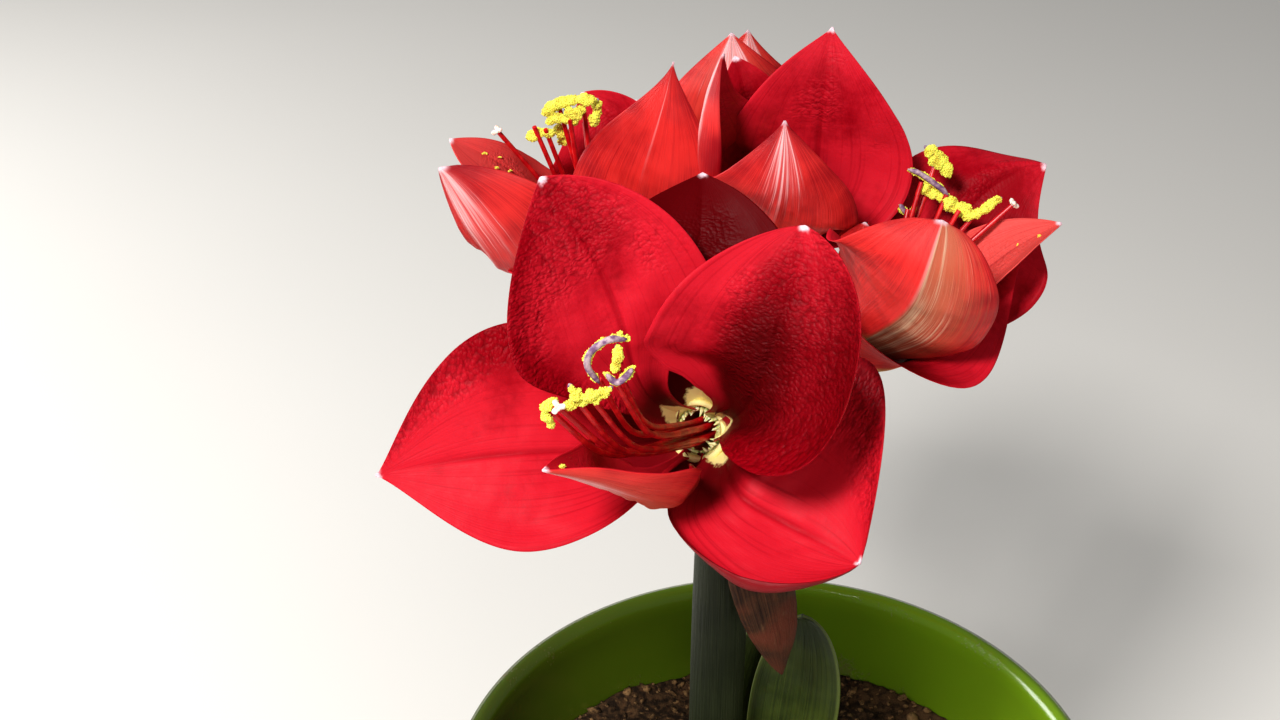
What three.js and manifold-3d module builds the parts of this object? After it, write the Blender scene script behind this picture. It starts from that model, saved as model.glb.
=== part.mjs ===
// Potted amaryllis: a plastic pot of soil, a bulb with two young leaves, and one scape with five open blooms.
// Millimetres, +Z up. The origin is the centre of the pot's flat bottom, and the front bloom looks to -Y.
// Each bloom has six tepals grown on one short tube, a fringed pale ring in its throat, and six stamens
// with one longer style.

import * as THREE from 'three';
import { mergeVertices } from 'three/addons/utils/BufferGeometryUtils.js';
import Module from 'manifold-3d';

const wasm = await Module();
wasm.setup();

// Clearance between neighbouring pieces
const GAP = 0.3;

// Pot: a tapered moulded wall with a rolled rim
const POT_HEIGHT = 215;
const POT_RIM_RADIUS = 140;
const POT_NECK_RADIUS = 133;
const POT_NECK_HEIGHT = 194;
const POT_FOOT_RADIUS = 100;
const POT_FOOT_CHAMFER = 2;
const POT_WALL = 3.2;
const POT_FLOOR = 4;
const POT_SIDES = 40;

// Soil
const SOIL_TOP = 164;
const SOIL_RINGS = [1, 0.86, 0.68, 0.5];
const SOIL_LUMP = 1.2;

// Bulb: half out of the soil
const BULB_CENTRE = [-13, -3];
const BULB_SIDES = 20;
const BULB_OUTLINE = [
  [0, 96], [14, 95], [30, 102], [43, 120], [47, 138], [44, 156], [37, 172], [32.5, 186], [31, 195],
  [28, 197], [0, 193],
];

// Scape: one thick stem, its receptacle, and a pedicel with an ovary under each bloom
const SCAPE_RADIUS = 11;
const SCAPE_SIDES = 14;
const SCAPE_PATH = [[-26, -10, 181], [-27, -10, 250], [-26.5, -9, 320], [-25, -8, 380]];
const UMBEL = [-25, -8, 380];
const RECEPTACLE = [14, 14, 12];
const PEDICEL_RADIUS = 5.4;
const PEDICEL_SIDES = 7;
const OVARY_SIDES = 8;
// Radius and level along the bloom's axis, from the throat at level 0
const OVARY_OUTLINE = [[0, -44], [5, -43], [7.4, -37], [7.8, -31], [6.4, -24.4], [0, -24.4]];

// Perianth tube and what stands in it, as radius and level
const TUBE_SIDES = 10;
const TUBE_OUTLINE = [
  [0, -24], [6.3, -24], [7.6, -16], [9, -7], [10.4, 2.5], [7.8, 3], [7.3, -7], [5.7, -21.3], [0, -21.3],
];
const RING_OUTLINE = [[5.2, -4], [6.3, -4], [6.6, 0], [6, 0], [5.2, -4]];
const RING_TEETH = 8;
const TOOTH_HEIGHT = 5;
const DISC_OUTLINE = [[0, -21], [4.6, -21], [4.4, -18.6], [0, -18.2]];
const FILAMENT_RADIUS = 0.9;
const STYLE_RADIUS = 1;
const FILAMENT_SIDES = 3;
const FILAMENT_ROOT = -20;
const FILAMENT_LEAVE = 14;
const FILAMENT_CIRCLE = 3.4;
const FILAMENT_BOW = 0.06;
const ANTHER_LENGTH = 11;
const ANTHER_RADIUS = 1.5;
const ANTHER_BEND = 0.22;
const STIGMA_RADIUS = 1.9;

// Tepals
const TEPAL_THICKNESS = 0.9;
const TEPAL_ROWS = 7;
const TEPAL_COLUMNS = 2;
const ROOT_RADIUS = { outer: 9.8, inner: 8.6 };
const ROOT_SPREAD = { outer: 34, inner: 13 };
// What a tepal has unless its own line says otherwise. width is measured flat across the fullest part, claw
// is the root's share of it, fullest is where it lies along the midrib, and point shapes the tip. A higher
// ease keeps the root narrow for longer. cup is how far each half curls in at the root, middle and tip, in
// degrees, and edge is an extra curl on the left and right.
const TEPAL = {
  rise: 45, hold: 40, width: 60, claw: 0.14, ease: 1.6, fullest: 0.52, point: 0.9,
  cup: [75, 35, 30], edge: [0, 0], keel: 0, skew: 0, wave: 0.6, waves: 2.5, phase: 0,
};

// The five blooms. throat is the tube's mouth. Each tepal leaves it at the angle turn round the axis, and ends
// at tip, where its midrib points along out and its inner face looks along face. Anthers and stigma are points.
const BLOOMS = [
  {
    name: 'front', throat: [-38, -72, 446], axis: [-0.4, -0.8, 0.42],
    tepals: [
      { inner: false, turn: 206, tip: [-144, -95, 444], out: [-1, -0.1, -0.2], face: [0.1, -0.8, 0.6],
        width: 76, rise: 46, hold: 60, cup: [75, 22, 15], point: 1.25, skew: -0.14 },
      { inner: false, turn: 90, tip: [-38, -48, 530], out: [0, 0.9, 0.5], face: [0, -0.9, 0.4],
        width: 70, cup: [75, 25, 30], point: 1 },
      { inner: false, turn: 335, tip: [11, -128, 434], out: [0.75, -0.6, -0.1], face: [-0.2, -0.6, 0.7],
        width: 92, rise: 45, hold: 50, cup: [75, 40, 60], edge: [0, -60], fullest: 0.6, point: 0.7,
        skew: 0.28 },
      { inner: true, turn: 150, tip: [-89, -70, 540], out: [-0.65, 0.45, 0.6], face: [0.2, -0.9, 0.4],
        width: 70, hold: 55, cup: [75, 25, 25], fullest: 0.55, skew: 0.08, ease: 7 },
      { inner: true, turn: 30, tip: [-8, -88, 533], out: [0.2, 0.5, 0.8], face: [-0.3, -0.9, 0.3],
        width: 78, base: 35, hold: 45, cup: [90, 34, 24], edge: [60, 20], fullest: 0.52, point: 0.75,
        skew: 0.04, ease: 4 },
      { inner: true, turn: 270, tip: [-87, -140, 479], out: [-0.9, -0.3, 0.4], face: [0.1, 0.3, 1],
        width: 48, base: 50, rise: 36, cup: [80, 72, 62] },
    ],
    anthers: [
      [-70, -141, 512], [-65, -144, 513], [-72, -148, 510], [-84, -151, 508], [-65, -142, 518],
      [-77, -150, 512],
    ],
    stigma: [-81, -154, 511], sag: 0.1,
  },
  {
    name: 'left', throat: [-65, 45, 428], axis: [-0.45, 0.4, 0.75],
    tepals: [
      { inner: false, turn: 350, tip: [-128, 0, 507], out: [-0.4, 0.4, 0.8], face: [0.5, 0.8, -0.3],
        width: 56, hold: 55, cup: [75, 40, 20], point: 0.7, skew: 0.75 },
      { inner: false, turn: 85, tip: [-46, 42, 528], out: [0.2, 0.4, 0.9], face: [0.1, 0.8, -0.6],
        width: 60, cup: [75, 18, 12], fullest: 0.42, point: 1.5, skew: 0.14 },
      { inner: false, turn: 205, tip: [-81, 92, 492], out: [-0.7, 0.5, 0.4], face: [0.1, -1, 0.3],
        width: 62, skew: 0.3 },
      { inner: true, turn: 265, tip: [-129, 50, 493], out: [-0.9, 0.2, 0.3], face: [0.2, -0.3, 0.9],
        width: 48, cup: [75, 30, 20], skew: 0.45 },
      { inner: true, turn: 25, tip: [-95, -15, 480], out: [-0.5, -0.2, 0.8], face: [0.2, 1, -0.1],
        width: 56, cup: [75, 45, 30] },
      { inner: true, turn: 145, tip: [-55, 82, 489], out: [0.1, 0.5, 0.8], face: [-0.9, 0.1, -0.3],
        width: 42, cup: [75, 45, 30] },
    ],
    anthers: [
      [-88, 52, 505], [-79, 56, 501], [-93, 46, 499], [-79, 60, 495], [-84, 48, 502], [-97, 44, 501],
    ],
    stigma: [-110, 40, 501],
  },
  {
    name: 'right', throat: [16, -4, 437], axis: [0.7, -0.1, 0.65],
    tepals: [
      { inner: false, turn: 330, tip: [91, 35, 490], out: [1, 0.2, 0.1], face: [-0.1, -0.9, 0.4],
        width: 72, cup: [75, 30, 20], skew: -0.12 },
      { inner: true, turn: 270, tip: [91, 0, 485], out: [0.9, 0.1, 0.4], face: [-0.2, -0.2, 1],
        width: 36, cup: [75, 60, 40] },
      { inner: true, turn: 165, tip: [41, -45, 511], out: [0.3, 0.6, 0.7], face: [0.2, 0.9, -0.3],
        width: 70, base: 26, hold: 36, cup: [75, 40, 5], edge: [-50, 10], keel: 10, fullest: 0.5,
        point: 0.5, skew: -0.1, ease: 0.7 },
      { inner: false, turn: 215, tip: [82, 6, 473], out: [0.7, 0.6, 0.5], face: [-0.1, -0.6, 0.8],
        width: 42, base: 48, rise: 27, cup: [75, -10, 10], fullest: 0.15, point: 1.7, skew: -0.35,
        ease: 0.8 },
      { inner: true, turn: 30, tip: [78, 50, 440], out: [0.8, 0.6, -0.2], face: [0.1, -0.6, 0.8], width: 40 },
      { inner: false, turn: 90, tip: [20, -12, 492], out: [0.1, 0.2, 1], face: [0.7, 0.6, -0.3], width: 40 },
    ],
    anthers: [
      [48, 20, 499], [42, 12, 495], [51, 10, 491], [65, 8, 489], [38, 12, 484], [55, 4, 488],
    ],
    stigma: [74, 6, 489],
  },
  {
    name: 'upper', throat: [-8, 30, 447], axis: [0.05, 0.25, 0.95],
    tepals: [
      { inner: false, turn: 90, tip: [-9, -6, 528], out: [0, 0.5, 0.9], face: [0, 0.7, -0.7],
        width: 60, cup: [75, 30, 20], fullest: 0.5, point: 1.2 },
      { inner: true, turn: 30, tip: [-29, 18, 542], out: [0.4, 0.3, 0.8], face: [0.85, -0.35, -0.3],
        width: 52, cup: [75, 50, 50], edge: [0, 80], point: 1 },
      { inner: false, turn: 210, tip: [10, 38, 543], out: [0.2, 0.6, 0.8], face: [-0.1, -0.9, 0.4],
        width: 72, rise: 40, base: 12, cup: [75, 20, 15], fullest: 0.48, point: 1.2 },
      { inner: false, turn: 330, tip: [-24, 42, 530], out: [-0.3, 0.5, 0.8], face: [0.3, -0.9, 0.4],
        width: 42, rise: 40, base: 10, cup: [75, 40, 30] },
      { inner: true, turn: 270, tip: [4, 80, 500], out: [0, 0.6, 0.8], face: [0, -0.9, 0.4],
        width: 46, cup: [75, 40, 30] },
      { inner: true, turn: 150, tip: [6, 18, 490], out: [0.1, 0.4, 0.9], face: [-0.6, 0.6, -0.4],
        width: 34, rise: 25, hold: 20, cup: [75, 40, 30] },
    ],
    anthers: [[-10, 20, 497], [-3, 20, 500], [-6, 25, 500], [-12, 26, 498], [-2, 27, 497], [-6, 18, 494]],
    stigma: [-6, 22, 506],
  },
  {
    name: 'rear', throat: [-17, 80, 423], axis: [-0.02, 0.75, 0.6],
    tepals: [
      { inner: false, turn: 90, tip: [-23, 90, 518], out: [0, 0.7, 0.7], face: [0, 0.8, -0.5],
        width: 72, point: 1.1 },
      { inner: true, turn: 150, tip: [-16, 104, 513], out: [0, 0.8, 0.6], face: [-0.3, 0.8, -0.5],
        width: 60, point: 1.1 },
      { inner: true, turn: 30, tip: [-60, 115, 478], out: [-0.3, 0.7, 0.6], face: [0.3, 0.8, -0.5],
        width: 62 },
      { inner: false, turn: 210, tip: [30, 142, 463], out: [0.4, 0.9, 0.3], face: [-0.3, -0.6, 0.7],
        width: 52, skew: -0.1 },
      { inner: true, turn: 270, tip: [-20, 165, 440], out: [0, 1, -0.3], face: [0, 0.2, 1],
        width: 40, cup: [75, 60, 40] },
      { inner: false, turn: 330, tip: [-60, 150, 450], out: [-0.4, 0.9, 0.2], face: [0.4, -0.3, 0.9],
        width: 64 },
    ],
  },
];

// Where the hidden stamens of a bloom without stated anthers end: levels and radius round the axis
const HIDDEN_ANTHER_LEVELS = [50, 56, 53, 58, 51, 55];
const HIDDEN_ANTHER_RADIUS = 7;
const HIDDEN_STIGMA_LEVEL = 66;

// Leaves and bracts hang on four points: root, lift, lead and tip. start and face are where the inner face
// looks at the root and further on.
const LEAF = {
  rows: 9, columns: 3, crowd: 1.5, thickness: 2.6, claw: 0.62, ease: 1.6, fullest: 0.6, point: 0.5,
  cup: [40, 24, 10], edge: [0, 0], keel: 0, skew: 0, wave: 0, waves: 1, phase: 0,
};
const LEAVES = {
  leaf_1: {
    root: [2, 2, 185], lift: [1, 2, 225], lead: [10, 3, 262], tip: [8, 8, 298],
    start: [-0.7, -0.7, 0], face: [-0.2, -1, 0.1], width: 38,
  },
  leaf_2: {
    root: [-13, 19, 185], lift: [-13, 19, 225], lead: [-3, 17, 262], tip: [-2, 18, 290],
    start: [-0.4, -0.9, 0], face: [-0.1, -1, 0], width: 34,
  },
};
const BRACT = {
  rows: 8, columns: 2, crowd: 1, thickness: 0.8, claw: 0.5, ease: 1.6, fullest: 0.45, point: 0.8,
  cup: [30, 25, 40], edge: [10, 30], keel: 0, skew: 0, wave: 1.2, waves: 2.2, phase: 0.1,
};
const BRACTS = {
  bract_1: {
    root: [-19, -18.4, 370], lift: [-15, -26, 358], lead: [-6, -31, 330], tip: [-3, -34, 304],
    start: [-0.5, 0.85, 0], face: [-0.3, 0.9, 0], width: 27,
  },
  bract_2: {
    root: [-25, 4, 370], lift: [-25, 13, 358], lead: [-26, 18, 332], tip: [-27, 20, 304],
    start: [0, -1, 0], face: [0.1, -1, 0], width: 22,
  },
};

// Small helpers

const vec = (p) => new THREE.Vector3(...p);
const clamp01 = (x) => Math.min(1, Math.max(0, x));
const smooth = (x) => clamp01(x) ** 2 * (3 - 2 * clamp01(x));
const radians = THREE.MathUtils.degToRad;

// A closed geometry as a solid: shared vertices merged, empty triangles dropped, faces pointing out
function solid(geometry) {
  const bare = geometry.clone();
  bare.deleteAttribute('normal');
  bare.deleteAttribute('uv');
  const merged = mergeVertices(bare, 1e-4);
  const at = merged.attributes.position;
  const index = merged.index.array;
  const triangles = [];
  const a = new THREE.Vector3();
  const b = new THREE.Vector3();
  const c = new THREE.Vector3();
  let volume = 0;
  for (let i = 0; i < index.length; i += 3) {
    const [p, q, r] = [index[i], index[i + 1], index[i + 2]];
    if (p === q || q === r || r === p) continue;
    triangles.push([p, q, r]);
    a.fromBufferAttribute(at, p);
    b.fromBufferAttribute(at, q);
    c.fromBufferAttribute(at, r);
    volume += a.dot(b.cross(c));
  }
  if (volume < 0) triangles.forEach((t) => t.reverse());
  return new wasm.Manifold(new wasm.Mesh({
    numProp: 3,
    vertProperties: new Float32Array(at.array),
    triVerts: new Uint32Array(triangles.flat()),
  }));
}

// The largest body of a solid: loose scraps and sealed hollows are dropped
function whole(body) {
  const pieces = body.decompose();
  return pieces.reduce((best, piece) => (piece.volume() > best.volume() ? piece : best));
}

function fuse(bodies) {
  return whole(bodies.reduce((sum, body) => sum.add(body)));
}

// A profile of radius and level turned round +Z
function turned(outline, sides) {
  const points = outline.map(([r, z]) => new THREE.Vector2(r, z));
  return new THREE.LatheGeometry(points, sides).rotateX(Math.PI / 2);
}

// A round rod along a curve
function rod(curve, radius, sides, steps) {
  const section = new THREE.Shape();
  for (let i = 0; i < sides; i += 1) {
    const a = (2 * Math.PI * i) / sides;
    const [x, y] = [radius * Math.cos(a), radius * Math.sin(a)];
    if (i === 0) section.moveTo(x, y);
    else section.lineTo(x, y);
  }
  section.closePath();
  return new THREE.ExtrudeGeometry(section, { steps, bevelEnabled: false, extrudePath: curve });
}

// Blades: tepals, leaves and bracts

// Half the flat width at u along the midrib
function halfWidth(b, u) {
  const widen = b.claw + (1 - b.claw) * Math.sin((clamp01(u / b.fullest) * Math.PI) / 2) ** b.ease;
  const narrow = (1 - clamp01((u - b.fullest) / (1 - b.fullest)) ** 2) ** b.point;
  return (b.width / 2) * widen * narrow;
}

// How far each half has curled in at u
function cupAngle(b, u) {
  const [root, middle, tip] = b.cup;
  const first = root + (middle - root) * smooth(u * 2);
  return radians(u < 0.5 ? first : middle + (tip - middle) * smooth(u * 2 - 1));
}

// A thin curved blade with a pointed end, the same thickness all over and both faces split alike
function blade(b) {
  const curve = new THREE.CubicBezierCurve3(vec(b.root), vec(b.lift), vec(b.lead), vec(b.tip));
  const start = vec(b.start).normalize();
  const face = vec(b.face).normalize();
  const columns = 2 * b.columns + 1;
  const inner = [];
  const outer = [];
  const stepsPerColumn = 4;
  for (let i = 0; i <= b.rows; i += 1) {
    const u = 1 - (1 - i / b.rows) ** b.crowd;
    const mid = curve.getPointAt(u);
    const along = curve.getTangentAt(u);
    const n = start.clone().lerp(face, smooth(u / 0.6));
    n.addScaledVector(along, -n.dot(along)).normalize();
    const side = n.clone().cross(along);
    const half = i === b.rows ? 0 : halfWidth(b, u);
    const cup = cupAngle(b, u);
    for (let j = -b.columns; j <= b.columns; j += 1) {
      const way = Math.sign(j);
      const count = Math.abs(j) * stepsPerColumn;
      const total = b.columns * stepsPerColumn;
      const reach = (half * (1 + way * b.skew)) / total;
      const edge = radians(b.edge[way < 0 ? 0 : 1]) * Math.sin(Math.PI * u) ** 0.7;
      let [x, y, angle] = [0, 0, 0];
      for (let k = 0; k < count; k += 1) {
        const v = (k + 0.5) / total;
        angle = radians(b.keel) * u + cup * v + edge * v ** 3;
        x += Math.cos(angle) * reach;
        y += Math.sin(angle) * reach;
      }
      const v = count / total;
      const ripple = Math.sin(2 * Math.PI * (b.waves * u + b.phase + (way > 0 ? 0.37 : 0)));
      y += half > 0 ? b.wave * ripple * v ** 2 * Math.sin(Math.PI * u) ** 0.5 : 0;
      if (half === 0) angle = 0;
      const at = mid.clone().addScaledVector(side, way * x).addScaledVector(n, y);
      const normal = n.clone().multiplyScalar(Math.cos(angle)).addScaledVector(side, -way * Math.sin(angle));
      inner.push(at.clone().addScaledVector(normal, b.thickness / 2));
      outer.push(at.clone().addScaledVector(normal, -b.thickness / 2));
    }
  }
  const back = inner.length;
  const index = [];
  const quad = (p, q, r, s) => index.push(p, q, r, p, r, s);
  for (let i = 0; i < b.rows; i += 1) {
    for (let j = 0; j < columns - 1; j += 1) {
      const p = i * columns + j;
      const [q, r, s] = [p + columns, p + columns + 1, p + 1];
      if (j < b.columns) {
        index.push(p, q, r, p, r, s);
        index.push(back + p, back + r, back + q, back + p, back + s, back + r);
      } else {
        index.push(p, q, s, q, r, s);
        index.push(back + p, back + s, back + q, back + q, back + s, back + r);
      }
    }
    const p = i * columns;
    const s = p + columns - 1;
    quad(p + columns, p, back + p, back + p + columns);
    quad(s, s + columns, back + s + columns, back + s);
  }
  for (let j = 0; j < columns - 1; j += 1) {
    const p = b.rows * columns + j;
    quad(j, j + 1, back + j + 1, back + j);
    quad(p + 1, p, back + p, back + p + 1);
  }
  const geometry = new THREE.BufferGeometry().setFromPoints([...inner, ...outer]);
  geometry.setIndex(index);
  return geometry;
}

// Blooms

// The bloom's own frame: its throat, and x, y and z directions, z along its axis and y as high as it can be
function bloomFrame(bloom) {
  const z = vec(bloom.axis).normalize();
  const y = new THREE.Vector3(0, 0, 1).addScaledVector(z, -z.z).normalize();
  const x = y.clone().cross(z);
  return { throat: vec(bloom.throat), x, y, z };
}

// A point at a level along the axis, a radius out from it, at a turn in degrees
function inBloom(frame, radius, turn, level) {
  return frame.throat.clone()
    .addScaledVector(frame.x, radius * Math.cos(radians(turn)))
    .addScaledVector(frame.y, radius * Math.sin(radians(turn)))
    .addScaledVector(frame.z, level);
}

// Puts a geometry that was turned round +Z onto the bloom's axis
function onAxis(geometry, frame) {
  const matrix = new THREE.Matrix4().makeBasis(frame.x, frame.y, frame.z).setPosition(frame.throat);
  return geometry.applyMatrix4(matrix);
}

function tepal(bloom, own) {
  const frame = bloomFrame(bloom);
  const t = { ...TEPAL, ...own };
  const ring = t.inner ? 'inner' : 'outer';
  const spread = radians(t.base ?? ROOT_SPREAD[ring]);
  const outward = inBloom(frame, 1, t.turn, 0).sub(frame.throat);
  const root = inBloom(frame, ROOT_RADIUS[ring], t.turn, 0);
  const lift = root.clone()
    .addScaledVector(frame.z, t.rise * Math.cos(spread))
    .addScaledVector(outward, t.rise * Math.sin(spread));
  const lead = vec(t.tip).addScaledVector(vec(t.out).normalize(), -t.hold);
  return solid(blade({
    ...t,
    root: root.toArray(),
    lift: lift.toArray(),
    lead: lead.toArray(),
    start: outward.clone().negate().toArray(),
    rows: TEPAL_ROWS,
    columns: TEPAL_COLUMNS,
    crowd: 1,
    thickness: TEPAL_THICKNESS,
  }));
}

function perianth(bloom) {
  const tube = solid(onAxis(turned(TUBE_OUTLINE, TUBE_SIDES), bloomFrame(bloom)));
  return fuse([tube, ...bloom.tepals.map((own) => tepal(bloom, own))]);
}

// The pale ring in the throat, with a fringe of small teeth
function throatRing(bloom) {
  const ring = turned(RING_OUTLINE, 2 * RING_TEETH);
  const place = ring.attributes.position;
  for (let i = 0; i < place.count; i += 1) {
    const [x, y] = [place.getX(i), place.getY(i)];
    const side = Math.round((Math.atan2(y, x) * RING_TEETH) / Math.PI + 2 * RING_TEETH);
    if (place.getZ(i) < -1 || side % 2) continue;
    place.setZ(i, TOOTH_HEIGHT * (side % 4 ? 0.75 : 1));
  }
  return solid(onAxis(ring, bloomFrame(bloom)));
}

// A crescent anther with its middle at a point
function anther(at, along, up, length) {
  const shape = new THREE.SphereGeometry(1, 5, 4).rotateX(Math.PI / 2);
  const place = shape.attributes.position;
  const side = up.clone().cross(along).normalize();
  const lift = along.clone().cross(side).normalize();
  for (let i = 0; i < place.count; i += 1) {
    const [x, y, z] = [place.getX(i), place.getY(i), place.getZ(i)];
    const p = at.clone()
      .addScaledVector(side, x * ANTHER_RADIUS)
      .addScaledVector(lift, y * ANTHER_RADIUS - ANTHER_BEND * length * (z * z - 0.2))
      .addScaledVector(along, (z * length) / 2);
    place.setXYZ(i, p.x, p.y, p.z);
  }
  return solid(shape);
}

function stamens(bloom) {
  const frame = bloomFrame(bloom);
  const parts = [solid(onAxis(turned(DISC_OUTLINE, 6), frame))];
  const anthers = bloom.anthers
    ? bloom.anthers.map(vec)
    : HIDDEN_ANTHER_LEVELS.map((level, k) => inBloom(frame, HIDDEN_ANTHER_RADIUS, 60 * k + 30, level));
  const stigma = bloom.stigma ? vec(bloom.stigma) : inBloom(frame, 2, 270, HIDDEN_STIGMA_LEVEL);
  const path = (turn, spread, end) => {
    const root = inBloom(frame, spread, turn, FILAMENT_ROOT);
    const leave = inBloom(frame, spread, turn, FILAMENT_LEAVE);
    const reach = leave.distanceTo(end);
    const middle = leave.clone().lerp(end, 0.5).addScaledVector(frame.z, FILAMENT_BOW * reach);
    middle.z -= (bloom.sag ?? 0) * reach;
    return new THREE.CatmullRomCurve3([root, inBloom(frame, spread, turn, -3), leave, middle, end]);
  };
  // Filaments leave the disc in the order of their anthers, so that they don't cross
  const centre = anthers.reduce((sum, end) => sum.add(end), new THREE.Vector3()).divideScalar(anthers.length);
  const angle = (end) => {
    const off = end.clone().sub(centre);
    return THREE.MathUtils.radToDeg(Math.atan2(off.dot(frame.y), off.dot(frame.x)));
  };
  anthers.sort((p, q) => angle(p) - angle(q));
  anthers.forEach((end, k) => {
    const toEnd = end.clone().sub(frame.throat);
    const turn = angle(anthers[0]) + 60 * k;
    const curve = path(turn, FILAMENT_CIRCLE, end);
    parts.push(solid(rod(curve, FILAMENT_RADIUS, FILAMENT_SIDES, 4)));
    // Anthers hang across their filaments, each turned its own way
    const across = toEnd.clone().cross(frame.y).normalize();
    const along = across.applyAxisAngle(toEnd.clone().normalize(), radians(70 * k + 20));
    parts.push(anther(end, along, toEnd.normalize(), ANTHER_LENGTH * (k % 2 ? 0.85 : 1)));
  });
  parts.push(solid(rod(path(0, 0, stigma), STYLE_RADIUS, FILAMENT_SIDES, 5)));
  const head = new THREE.SphereGeometry(STIGMA_RADIUS, 6, 3);
  parts.push(solid(head.translate(stigma.x, stigma.y, stigma.z)));
  return fuse(parts);
}

// Scape

function scapeCurve() {
  return new THREE.CatmullRomCurve3(SCAPE_PATH.map(vec));
}

function scape() {
  const umbel = vec(UMBEL);
  const knob = new THREE.SphereGeometry(1, 10, 6).scale(...RECEPTACLE).translate(...UMBEL);
  const parts = [solid(rod(scapeCurve(), SCAPE_RADIUS, SCAPE_SIDES, 4)), solid(knob)];
  for (const bloom of BLOOMS) {
    const frame = bloomFrame(bloom);
    const end = inBloom(frame, 0, 0, OVARY_OUTLINE[3][1]);
    const reach = 0.4 * umbel.distanceTo(end);
    const away = end.clone().sub(umbel).normalize().add(new THREE.Vector3(0, 0, 1)).normalize();
    const curve = new THREE.CubicBezierCurve3(
      umbel,
      umbel.clone().addScaledVector(away, reach),
      end.clone().addScaledVector(frame.z, -reach),
      end,
    );
    parts.push(solid(rod(curve, PEDICEL_RADIUS, PEDICEL_SIDES, 4)));
    parts.push(solid(onAxis(turned(OVARY_OUTLINE, OVARY_SIDES), frame)));
  }
  return fuse(parts);
}

// Pot, soil and bulb

const potRadius = (z) => POT_FOOT_RADIUS + ((POT_NECK_RADIUS - POT_FOOT_RADIUS) * z) / POT_NECK_HEIGHT;
const potInside = (z) => potRadius(z) - POT_WALL;

function pot() {
  const rim = POT_RIM_RADIUS;
  const top = POT_HEIGHT;
  return solid(turned([
    [0, 0],
    [POT_FOOT_RADIUS - POT_FOOT_CHAMFER, 0],
    [potRadius(POT_FOOT_CHAMFER), POT_FOOT_CHAMFER],
    [POT_NECK_RADIUS, POT_NECK_HEIGHT],
    [rim - 2, top - 18],
    [rim, top - 11],
    [rim - 0.8, top - 4],
    [rim - 4, top],
    [rim - 7.6, top - 1.6],
    [rim - 9.4, top - 7],
    [potInside(POT_NECK_HEIGHT), POT_NECK_HEIGHT],
    [potInside(POT_FLOOR), POT_FLOOR],
    [0, POT_FLOOR],
  ], POT_SIDES));
}

// Low lumps in the soil's surface
function lump(x, y) {
  const broad = Math.sin(0.05 * x + 1.3) * Math.cos(0.043 * y + 0.4);
  const fine = Math.sin(0.21 * x - 0.13 * y) + Math.cos(0.17 * y + 0.09 * x + 2);
  return SOIL_LUMP * (0.7 * broad + 0.4 * fine);
}

function bulbBody(extra) {
  const outline = BULB_OUTLINE.map(([r, z], k) => {
    const last = k === BULB_OUTLINE.length - 1;
    return [r > 0 ? r + extra : 0, z + (last || z > SOIL_TOP ? extra : -extra)];
  });
  return solid(turned(outline, BULB_SIDES).translate(...BULB_CENTRE, 0));
}

function soil() {
  const floor = POT_FLOOR + GAP;
  const edge = potInside(SOIL_TOP) - GAP;
  const outline = [[0, floor], [potInside(floor) - GAP, floor]];
  SOIL_RINGS.forEach((share) => outline.push([edge * share, SOIL_TOP]));
  outline.push([0, SOIL_TOP]);
  const shape = turned(outline, POT_SIDES);
  const place = shape.attributes.position;
  for (let i = 0; i < place.count; i += 1) {
    const [x, y, z] = [place.getX(i), place.getY(i), place.getZ(i)];
    const inside = Math.hypot(x, y) < 0.95 * edge;
    if (z > SOIL_TOP - 1 && inside) place.setZ(i, z + lump(x, y));
  }
  return whole(solid(shape).subtract(bulbBody(GAP)));
}

function bulb() {
  let body = bulbBody(0).subtract(solid(rod(scapeCurve(), SCAPE_RADIUS + GAP + 0.1, SCAPE_SIDES, 4)));
  for (const own of Object.values(LEAVES)) {
    const hole = { ...LEAF, ...own };
    hole.root = [own.root[0], own.root[1], own.root[2] - 0.4];
    hole.width += 2.4 * GAP;
    hole.thickness += 2.4 * GAP;
    body = body.subtract(solid(blade(hole)));
  }
  return whole(body);
}

// The object

const paint = (color, roughness) => new THREE.MeshStandardMaterial({ color, roughness, metalness: 0 });

function node(name, body, material) {
  const { vertProperties, triVerts } = body.getMesh();
  const geometry = new THREE.BufferGeometry();
  geometry.setAttribute('position', new THREE.BufferAttribute(new Float32Array(vertProperties), 3));
  geometry.setIndex(new THREE.BufferAttribute(new Uint32Array(triVerts), 1));
  geometry.computeVertexNormals();
  const mesh = new THREE.Mesh(geometry, material);
  mesh.name = name;
  return mesh;
}

const plant = new THREE.Group();
plant.name = 'potted_amaryllis';
plant.add(node('pot', pot(), paint('#5c8a24', 0.3)));
plant.add(node('soil', soil(), paint('#4a3426', 0.95)));
plant.add(node('bulb', bulb(), paint('#8a5a34', 0.8)));
plant.add(node('scape', scape(), paint('#5f7a4c', 0.55)));
for (const [name, own] of Object.entries(LEAVES)) {
  plant.add(node(name, solid(blade({ ...LEAF, ...own })), paint('#5f8a3c', 0.5)));
}
for (const [name, own] of Object.entries(BRACTS)) {
  plant.add(node(name, solid(blade({ ...BRACT, ...own })), paint('#9a6a52', 0.85)));
}
for (const bloom of BLOOMS) {
  plant.add(node(`perianth_${bloom.name}`, perianth(bloom), paint('#c8202e', 0.55)));
  plant.add(node(`throat_ring_${bloom.name}`, throatRing(bloom), paint('#e8e4b0', 0.6)));
  plant.add(node(`stamens_${bloom.name}`, stamens(bloom), paint('#d8b82c', 0.7)));
}

export default plant;
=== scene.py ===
# %% [markdown]
# # A potted amaryllis, dressed
# The construction comes as fixed bodies in metres. This script puts the living surface on it: veined and
# pebbled petals, pollen, papery bracts, soil and a glossy pot. Every step says what the real thing is, how
# it could be made, and why it is made this way. The same helpers come back from step to step.

# %% The frame
import math

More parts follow.
